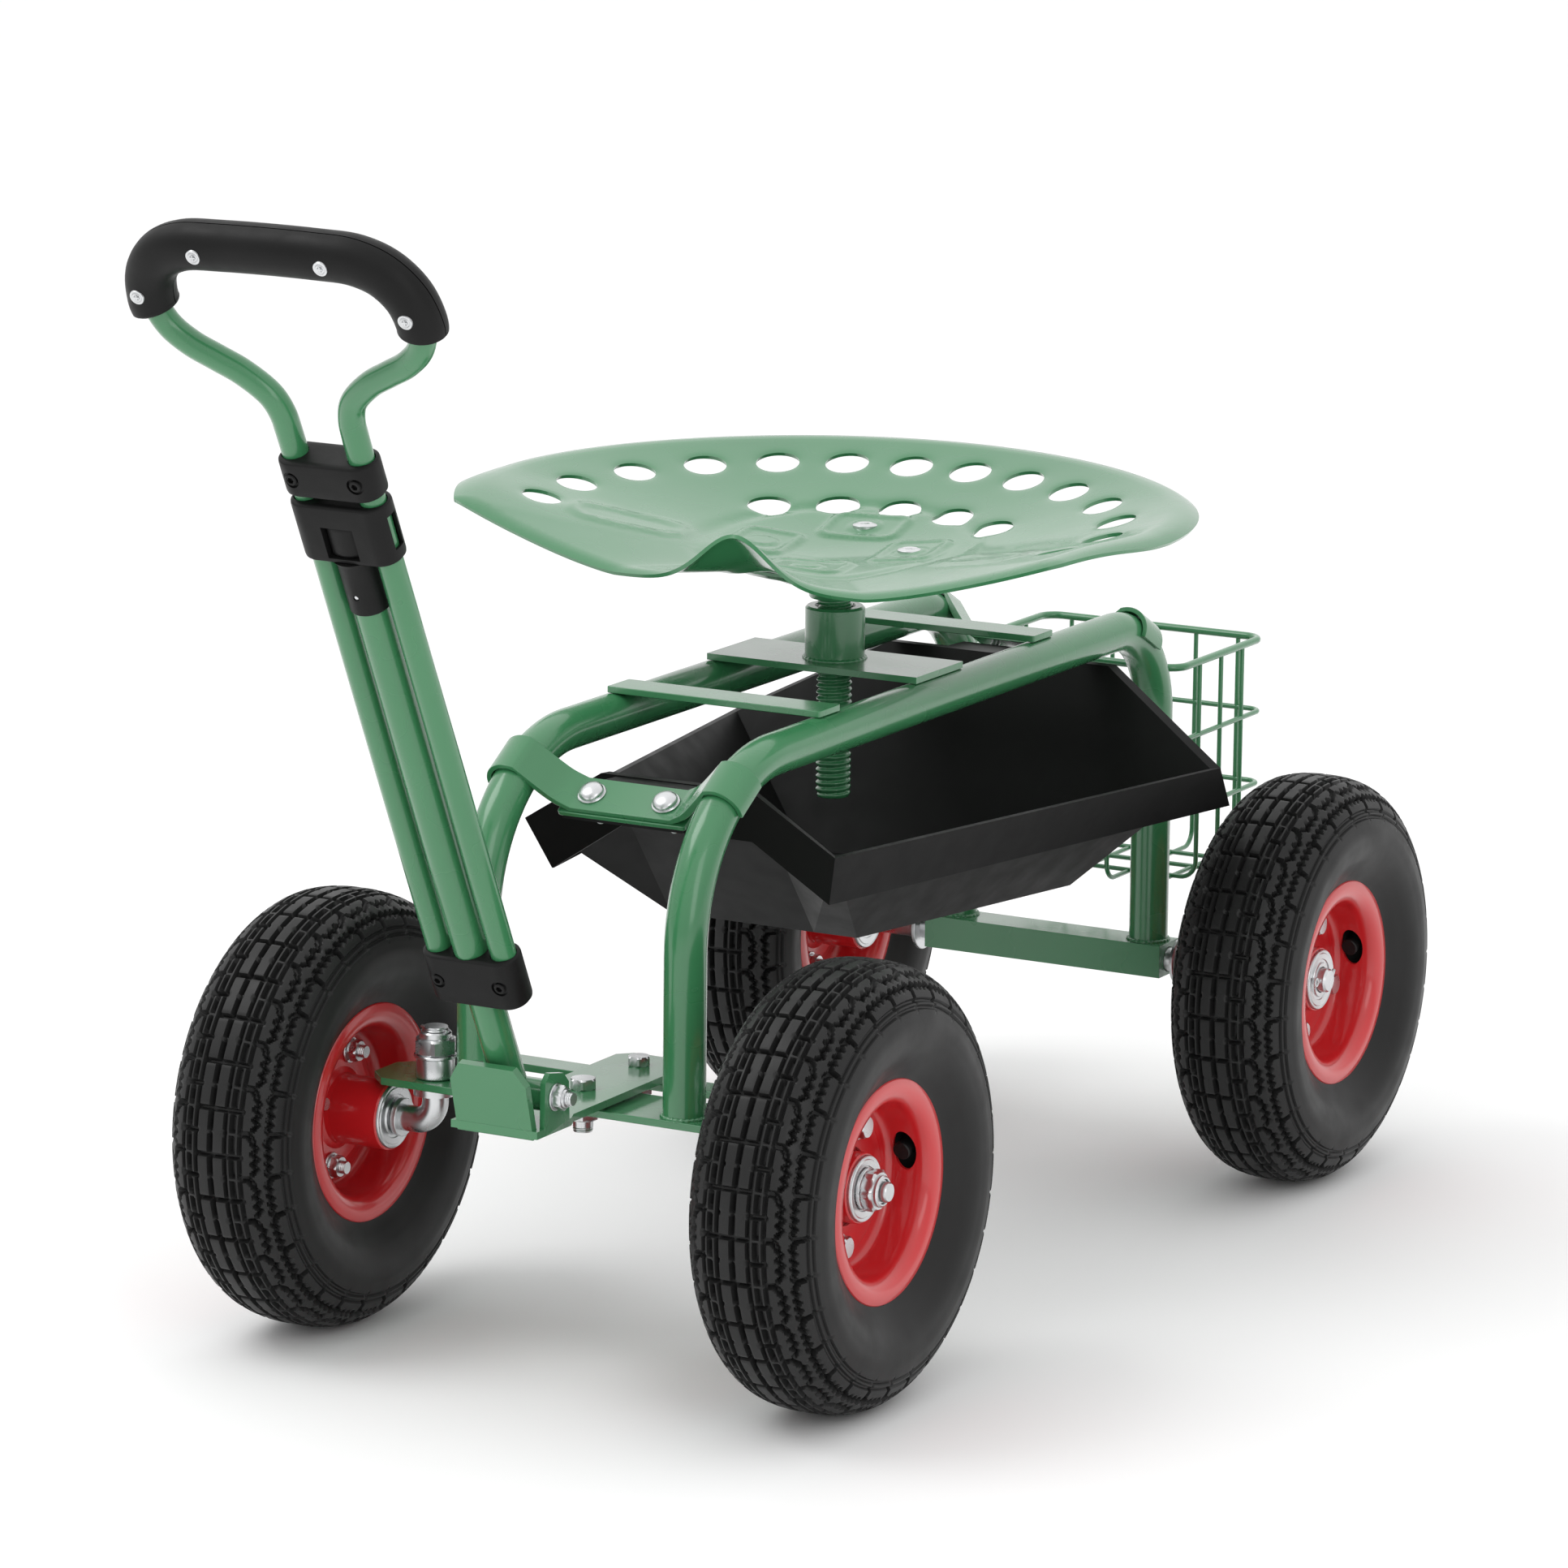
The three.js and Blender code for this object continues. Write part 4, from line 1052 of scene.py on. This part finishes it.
def grip_solid(face):
    """One moulded half of the grip, oval in section, with slightly thinner ends."""
    path = both_sides([(83.2, 497.6)] + LOOP_TOP, 7)
    outer = [(0.35 + a * 0.985, b * 1.02) for a, b in arc(0, 0, 13.4, -90, 90, 18)]
    inner = [(0.35 + a, b) for a, b in reversed(arc(0, 0, SIDE_TUBE_R + 0.5, -90, 90, 12))]
    out = Vector((0, face, 0))
    last = len(path) - 1
    loops = []
    for i, p in enumerate(path):
        along = (path[min(i + 1, last)] - path[max(i - 1, 0)]).normalized()
        across = along.cross(out).normalized()
        thin = 1 - 0.10 * max(0.0, 1 - min(i, last - i) / 1.5)
        section = [(a * thin, b * thin) for a, b in outer] + inner
        loops.append([p + out * a + across * b for a, b in section])
    return loft(loops)


def screw_with_washer():
    """A bright washer round a recessed cross-head screw."""
    cup = turned([
        (1.2, 0.3), (2.0, 0.9), (3.1, 1.3), (3.7, 0.7), (4.3, 1.0), (5.2, 0.8), (5.5, 0.1),
        (5.4, -1.5), (1.2, -1.5),
    ], 40)
    shank = turned([(1.4, -1), (1.4, 0.5), (0.3, 0.5)], 24, False)
    return joined(cup, cross_bars(2.1, 0.42, 0.2, 1.25), shank)


for face, name in ((-1, "front"), (1, "rear")):
    handle_show(f"grip_shell_{name}", grip_solid(face), "black_plastic", "handle_slider",
                [f"grip_{name}"], 50)
screws = []
for x, s in ((-83.6, 512), (-39.6, 541), (39.6, 541), (83.6, 512)):
    screws.append(moved(screw_with_washer(), at(x, -13.3, s) @ FACE_FRONT @ Matrix.Scale(0.8, 4)))
handle_show("grip_screws", joined(*screws), "zinc_steel", "handle_slider")


def block_outline(inset, corner=11):
    x, y = BLOCK_HALF - corner, BLOCK_DEPTH - corner
    out = []
    for cx, cy, start in ((x, -y, -90), (x, y, 0), (-x, y, 90), (-x, -y, 180)):
        out += arc(cx, cy, corner - inset, start, start + 90, 14)
    return out


def block_solid(low, high):
    """A moulded block whose ends are softly crowned."""
    stops = [(2.6, low), (1.0, low + 0.5), (0.25, low + 1.3), (0, low + 2.6)]
    stops += [(0, high - 2.6), (0.25, high - 1.3), (1.0, high - 0.5), (2.6, high)]
    return loft([[(x, y, z) for x, y in block_outline(inset)] for inset, z in stops])


def bore(x, radius, low, high):
    return rod([(x, 0, low), (x, 0, high)], radius, 40)


def side_bores(low, high):
    return [bore(x, SIDE_TUBE_R + 0.4, low, high) for x in (-SIDE_TUBE_X, SIDE_TUBE_X)]


def screw_places(sunk, s):
    """Where a block's two screws are, over its tubes, that far below its front."""
    return [at(x, sunk - BLOCK_DEPTH, s) @ FACE_FRONT for x in (-20.2, 20.2)]


def face_screws(s):
    return joined(*[moved(socket_screw(3.5, 1.4), place) for place in screw_places(1.1, s)])


def screw_wells(s):
    return [moved(rod([(0, 0, -1.6), (0, 0, 4)], 4.9, 32), place) for place in screw_places(0, s)]


LOW_SCREWS, HIGH_SCREWS = 60, 400
low_tools = side_bores(40, 82) + [bore(0, POST_R + 0.4, 40, 82)] + screw_wells(LOW_SCREWS)
low_block = cut(block_solid(*LOW_BLOCK), low_tools, "low")
clamp_block = cut(block_solid(*CLAMP), side_bores(380, 415) + screw_wells(HIGH_SCREWS), "clamp")
for name, solid, node in (
    ("lower_block_shell", low_block, "lower_slide_block"), ("cross_clamp_shell", clamp_block, "cross_clamp"),
):
    handle_show(name, solid, "black_plastic", "handle_slider", [node], 32, 0.25)
block_screws = joined(face_screws(LOW_SCREWS), face_screws(HIGH_SCREWS))
handle_show("block_screws", block_screws, "black_plastic", "handle_slider")


def box(x, half_x, front, back, low, high):
    left, right = x - half_x, x + half_x
    return prism([(left, front), (right, front), (right, back), (left, back)], low, high)


PIN_HEIGHT = NECK[0] + 12
window = box(0, 10, -25, 2, HOUSING[0] + 3.5, HOUSING[0] + 23.5)
slots = [box(x, 6, -4, 4, HOUSING[0] + 8, HOUSING[1] - 8) for x in (-BLOCK_HALF - 2.4, BLOCK_HALF + 2.4)]
neck = turned([
    (0.5, NECK[0]), (11.2, NECK[0]), (11.8, NECK[0] + 0.8), (11.8, HOUSING[0] - 3),
    (13.6, HOUSING[0] + 0.4), (0.5, HOUSING[0] + 0.4),
], 56, False)
pin_hole = moved(rod([(0, 0, -3), (0, 0, 4)], 1.7, 20), at(0, -11.8, PIN_HEIGHT) @ FACE_FRONT)
post_bore = bore(0, POST_R + 0.4, NECK[0] - 2, HOUSING[0] - 2.2)
house = cut(block_solid(*HOUSING), side_bores(340, 390) + [window] + slots, "house")
sleeve = cut(neck, [post_bore, pin_hole] + side_bores(340, 390), "neck")
handle_show("lock_housing_shell", joined(house, sleeve), "black_plastic", "handle",
            ["lock_housing"], 32, 0.25)
neck_pin = moved(dome_head(1.5, 0.7), at(0, -10.7, PIN_HEIGHT) @ FACE_FRONT)
handle_show("neck_pin", neck_pin, "zinc_steel", "handle")


def button_solid():
    """The lock button: a thumb pad that falls away to its sides, with softened edges."""
    n, half, back_y = 20, 9.4, -4
    low, high = HOUSING[0] + 4.1, HOUSING[0] + 22.9
    points = []
    for j in range(n + 1):
        for i in range(n + 1):
            x, s = half * (2 * i / n - 1), low + (high - low) * j / n
            soft = 0.7 * max(0.0, 1 - min(i, n - i, j, n - j) / 1.5)
            points.append((x, -10.9 + soft + 2.53 * (x / half) ** 2, s))
    width = n + 1
    faces = []
    for j in range(n):
        for i in range(n):
            a = j * width + i
            faces.append([a, a + 1, a + width + 1, a + width])
    border = list(range(width)) + [j * width + n for j in range(1, n + 1)]
    border += [n * width + i for i in range(n - 1, -1, -1)] + [j * width for j in range(n - 1, 0, -1)]
    back = len(points)
    points += [(points[i][0], back_y, points[i][2]) for i in border]
    for k in range(len(border)):
        m = (k + 1) % len(border)
        faces.append([border[m], border[k], back + k, back + m])
    faces.append([back + k for k in range(len(border))][::-1])
    return points, faces


handle_show("lock_button_pad", button_solid(), "black_plastic", "button", ["lock_button"], 40)


# ---------------------------------------------------------------- seat
def seat_outline(angle):
    c, s = math.cos(angle), math.sin(angle)
    oval = 1 / math.hypot(c / 232, s / 194)
    if s >= 0:
        return oval
    r = oval
    for _ in range(6):
        edge = -125 + 21 * min(1, (abs(r * c) / 216) ** 2) - SEAT_C_Y
        r = min(oval, edge / s)
    return r


def smooth(value, low, high):
    t = max(0.0, min(1.0, (value - low) / (high - low)))
    return t * t * (3 - 2 * t)


def seat_pan(angle, t):
    """Height of the pressed pan, at a share t of the way out to its outline."""
    s = math.sin(angle)
    x = abs(seat_outline(angle) * math.cos(angle))
    front = smooth(-s, 0.05, 0.45)
    thigh = max(0.0, (x - 84.5) / 131.5) ** 1.3
    rim = (472.5 + 8.5 * max(0.0, s)) * (1 - front) + (434 + 34 * thigh) * front
    pommel = 31 * math.exp(-((x / 32) ** 2)) if s < 0 else 0.0
    lip = max(0.0, (t - 0.92) / 0.08)
    return SEAT_FLOOR + (rim - SEAT_FLOOR) * t ** 1.6 + pommel * t ** 4 - (9.5 - 6.5 * front) * lip ** 2


# Each hole is an oval, with these half widths towards the seat's edge and along it.
HOLE_OUT, HOLE_ALONG, HOLE_R = 12.2, 13.6, 13
SEAT_HOLES = []
for first, step, count, share in ((-11.4, 15.6, 14, 0.78), (42.8, 23.6, 5, 0.5)):
    for i in range(count):
        a = math.radians(first + step * i)
        x, y = polar(share * seat_outline(a), a)
        SEAT_HOLES.append((x, SEAT_C_Y + y, a))
SEAT_PADS = [polar(48, math.radians(7 + 90 * k)) for k in range(4)]
SEAT_BOLTS = SEAT_PADS[:2]


def hole_distance(x, y):
    """Distance outside the nearest hole's edge."""
    best = 1e9
    for hx, hy, a in SEAT_HOLES:
        dx, dy = x - hx, y - hy
        if abs(dx) > 30 or abs(dy) > 30:
            continue
        out = dx * math.cos(a) + dy * math.sin(a)
        along = -dx * math.sin(a) + dy * math.cos(a)
        best = min(best, math.hypot(out / HOLE_OUT, along / HOLE_ALONG) * HOLE_R - HOLE_R)
    return best


def pad_distance(x, y, cx, cy, turn_by, half_x, half_y, corner):
    dx, dy = x - cx, y - cy
    c, s = math.cos(turn_by), math.sin(turn_by)
    u, v = abs(dx * c + dy * s) - half_x + corner, abs(-dx * s + dy * c) - half_y + corner
    return math.hypot(max(u, 0), max(v, 0)) + min(max(u, v), 0) - corner


def seat_height(x, y):
    angle = math.atan2(y - SEAT_C_Y, x)
    t = math.hypot(x, y - SEAT_C_Y) / seat_outline(angle)
    z = seat_pan(angle, t)
    d = hole_distance(x, y)
    if d < 12:
        z -= 0.8 * math.exp(-max(d, 0.0) / 2.2)
    # Pressed stiffening: a pad round each bolt, with a valley between them.
    for bx, by in SEAT_PADS:
        d = pad_distance(x, y, bx, by, math.atan2(by, bx), 19, 25, 9)
        dip = (1 - smooth(d, -6.0, -1.5)) * smooth(math.hypot(x - bx, y - by), 8, 12)
        z += 1.9 * (1 - smooth(d, -1.8, 3.4)) - 1.1 * dip
    r = math.hypot(x, y)
    z -= 1.4 * math.exp(-((r - 84) / 5.0) ** 2)
    for side in (-1, 1):
        d = abs(pad_distance(x, y, side * 122, -38, side * -0.35, 34, 15, 14))
        z += 1.6 * math.exp(-(d / 3.2) ** 2)
    return z


def pan_loop(pull):
    """The pan's outline, pulled inwards."""
    count = 260
    angles = [2 * math.pi * i / count for i in range(count)]
    loop = [polar(seat_outline(a) - pull, a) for a in angles]
    return [(x, SEAT_C_Y + y) for x, y in loop]


def hole_loop(hx, hy, a, out):
    """A hole's edge, moved outwards."""
    loop = []
    for i in range(40):
        b = 2 * math.pi * i / 40
        u, v = (HOLE_OUT + out) * math.cos(b), (HOLE_ALONG + out) * math.sin(b)
        loop.append((hx + u * math.cos(a) - v * math.sin(a), hy + u * math.sin(a) + v * math.cos(a)))
    return loop


def inner_points():
    """Points spread over the pan: in rings, and closer together round the bolts."""
    points = []
    rings, spacing, outer_r = 46, 4.3, 205
    for j in range(1, rings):
        t = j / rings
        n = max(8, int(2 * math.pi * t * outer_r / spacing))
        for i in range(n):
            a = 2 * math.pi * (i + 0.5 * (j % 2)) / n
            x, y = polar(t * (seat_outline(a) - 9.5), a)
            if hole_distance(x, SEAT_C_Y + y) > 6.4:
                points.append((x, SEAT_C_Y + y))
    fine, reach = 2.2, 34
    for i in range(-reach, reach + 1):
        for j in range(-reach, reach + 1):
            x, y = i * fine + 0.31, j * fine + 0.17
            if math.hypot(x, y) < 76 and hole_distance(x, y) > 6:
                points.append((x, y))
    return points


def seat_mesh():
    """The pan as one sheet of well-shaped triangles, with its holes left out."""
    points, edges = [], []

    def add_loops(loops):
        """Adds loops, of which the first is an edge of the sheet."""
        start, n = len(points), len(loops[0])
        edges.extend((start + i, start + (i + 1) % n) for i in range(n))
        for loop in loops:
            points.extend(loop)

    add_loops([pan_loop(pull) for pull in (0.0, 1.4, 3.0, 5.0, 7.5)])
    for hole in SEAT_HOLES:
        add_loops([hole_loop(*hole, out) for out in (0.0, 1.3, 2.8, 4.8)])
    points += inner_points()
    flat, _, faces, _, _, _ = delaunay_2d_cdt([Vector(p) for p in points], edges, [], 1, 0.05)
    kept = []
    for face in faces:
        x = sum(flat[i].x for i in face) / 3
        y = sum(flat[i].y for i in face) / 3
        edge = seat_outline(math.atan2(y - SEAT_C_Y, x))
        if math.hypot(x, y - SEAT_C_Y) < edge + 0.05 and hole_distance(x, y) > -0.05:
            kept.append(face)
    used = sorted({i for face in kept for i in face})
    index = {old: new for new, old in enumerate(used)}
    solid = [(flat[i].x, flat[i].y, seat_height(flat[i].x, flat[i].y)) for i in used]
    return solid, [[index[i] for i in face] for face in kept]


seat = show("seat_pan_sheet", seat_mesh(), "green_paint", "seat_top", ["seat"], 180)
sheet = seat.modifiers.new("sheet", "SOLIDIFY")
sheet.thickness = 2.4 * MM
sheet.offset = -1.0
sheet.use_even_offset = True
round_edges(seat, 0.7, 55)

heads = []
for k, (x, y) in enumerate(SEAT_BOLTS):
    low_head = turned([(6.6, -1), (6.6, 0.4), (6.1, 0.9), (3.9, 1.5), (2.6, 0.7), (0.4, 0.5)], 48, False)
    spot = at(x, y, seat_height(x, y) - 0.4) @ turn("Z", 20 + 74 * k) @ Matrix.Scale(1.18, 4)
    heads.append(moved(joined(low_head, cross_bars(2.7, 0.4, 0.4, 1.15)), spot))
    heads.append(moved(nut_on_thread(13, 5.5, 3.9, 0.4, 1.25, 8.5), at(x, y, 421.6) @ FACE_DOWN))
show("seat_bolts", joined(*heads), "zinc_steel", "seat_top")


def support_disc():
    """The pressed disc under the pan, with radial ribs, a rolled rim and the screw's boss."""
    n, thickness = 144, 2.6
    under = [(16, 422), (22, 422), (30, 421.6), (44, 421.6), (56, 422.6), (63, 424.6), (66.5, 427)]
    rim = [(68.4, 427.4), (68.4, 429.4), (66.5, 429.8)]
    top = [(r, z + thickness) for r, z in reversed(under[:-1])]
    rows = []
    for r, z in under + rim + top:
        row = []
        for i in range(n):
            a = 2 * math.pi * i / n
            rib = 1.1 * max(0.0, math.cos(8 * a)) ** 3 * smooth(r, 22, 30) * (1 - smooth(r, 56, 64))
            row.append((*polar(r, a), z - rib))
        rows.append(row)
    bore_r = SCREW_R + 0.3
    boss = turned([
        (bore_r, 405), (15.4, 405), (16, 405.8), (16, 421), (17.6, 422.4), (16, 424), (bore_r, 421.3),
    ])
    return joined(loft(rows, closed=True), boss)


show("seat_support_disc", support_disc(), "green_paint", "seat_top", ["seat_support_plate"], 40)
thread = threaded(SCREW_R, 1.5, 4.0, 282, 421, 56)
show("lift_screw_thread", thread, "green_paint", "lift_screw", ["seat_screw"], 75)


# ---------------------------------------------------------------- CAD nodes still showing
for subpart in frame["record"]["subparts"]:
    node = frame["nodes"][subpart["node"]]
    node.data.materials.clear()
    node.data.materials.append(LOOKS[subpart["material_slot"]])


# ---------------------------------------------------------------- stage, light and camera
def studio_floor(half=40):
    mesh = bpy.data.meshes.new("studio_floor")
    corners = [(-half, -half, 0), (half, -half, 0), (half, half, 0), (-half, half, 0)]
    mesh.from_pydata(corners, [], [[0, 1, 2, 3]])
    n = Nodes("studio_white")
    n.link(n.drift(0.7, 2, 0.7, 0.74), n.shader.inputs["Roughness"])
    n.set(Base_Color=(0.98, 0.98, 0.98, 1), Specular_IOR_Level=0.1)
    mesh.materials.append(n.material)
    link_object("studio_floor", mesh)


def area_light(name, place, target, size, energy):
    light = bpy.data.lights.new(name, "AREA")
    light.shape = "RECTANGLE"
    light.size, light.size_y = size
    light.energy = energy
    obj = link_object(name, light)
    obj.location = place
    obj.rotation_euler = (Vector(target) - Vector(place)).to_track_quat("-Z", "Y").to_euler()


studio_floor()
world = bpy.data.worlds.new("studio")
world.use_nodes = True
sky = world.node_tree
direction = sky.nodes.new("ShaderNodeTexCoord").outputs["Generated"]


def sky_level(towards, start, end, low, high):
    """Brightness that changes with the angle to one direction."""
    dot = sky.nodes.new("ShaderNodeVectorMath")
    dot.operation = "DOT_PRODUCT"
    dot.inputs[1].default_value = towards
    sky.links.new(direction, dot.inputs[0])
    return range_node(sky, dot.outputs["Value"], low, high, start, end)


total = sky.nodes.new("ShaderNodeMath")
total.operation = "ADD"
sky.links.new(sky_level((0, 0, 1), 0.0, 0.8, 0.66, 1.02), total.inputs[0])
sky.links.new(sky_level((-0.47, 0.85, 0.24), 0.1, 0.95, 0.0, 0.3), total.inputs[1])
sky.links.new(total.outputs[0], sky.nodes["Background"].inputs["Strength"])
sky.nodes["Background"].inputs["Color"].default_value = (1, 1, 1, 1)
bpy.context.scene.world = world
bpy.context.scene.view_settings.view_transform = "Standard"
area_light("key", (-1.6, -1.2, 2.9), (0, 0, 0.3), (1.6, 1.6), 26)
area_light("fill", (2.6, -2.2, 1.6), (0, 0, 0.35), (1.4, 2.2), 14)


# The camera stands where the photographer did: in front, to the cart's left, a little high.
CAMERA_PLACE = Vector((2075.1, -3808.8 + SHIFT, 1215.5)) * MM
CAMERA_AZIMUTH, CAMERA_ELEVATION, CAMERA_ROLL = 28.977, 12.059, 0.592
SENSOR, LENS = 36, 167.513

camera = bpy.data.cameras.new("camera")
camera.sensor_width = SENSOR
camera.lens = LENS
camera.clip_end = 200
stand = link_object("camera", camera)
aim = turn("Z", CAMERA_AZIMUTH) @ turn("X", 90 - CAMERA_ELEVATION) @ turn("Z", CAMERA_ROLL)
stand.matrix_world = Matrix.Translation(CAMERA_PLACE) @ aim
bpy.context.scene.camera = stand
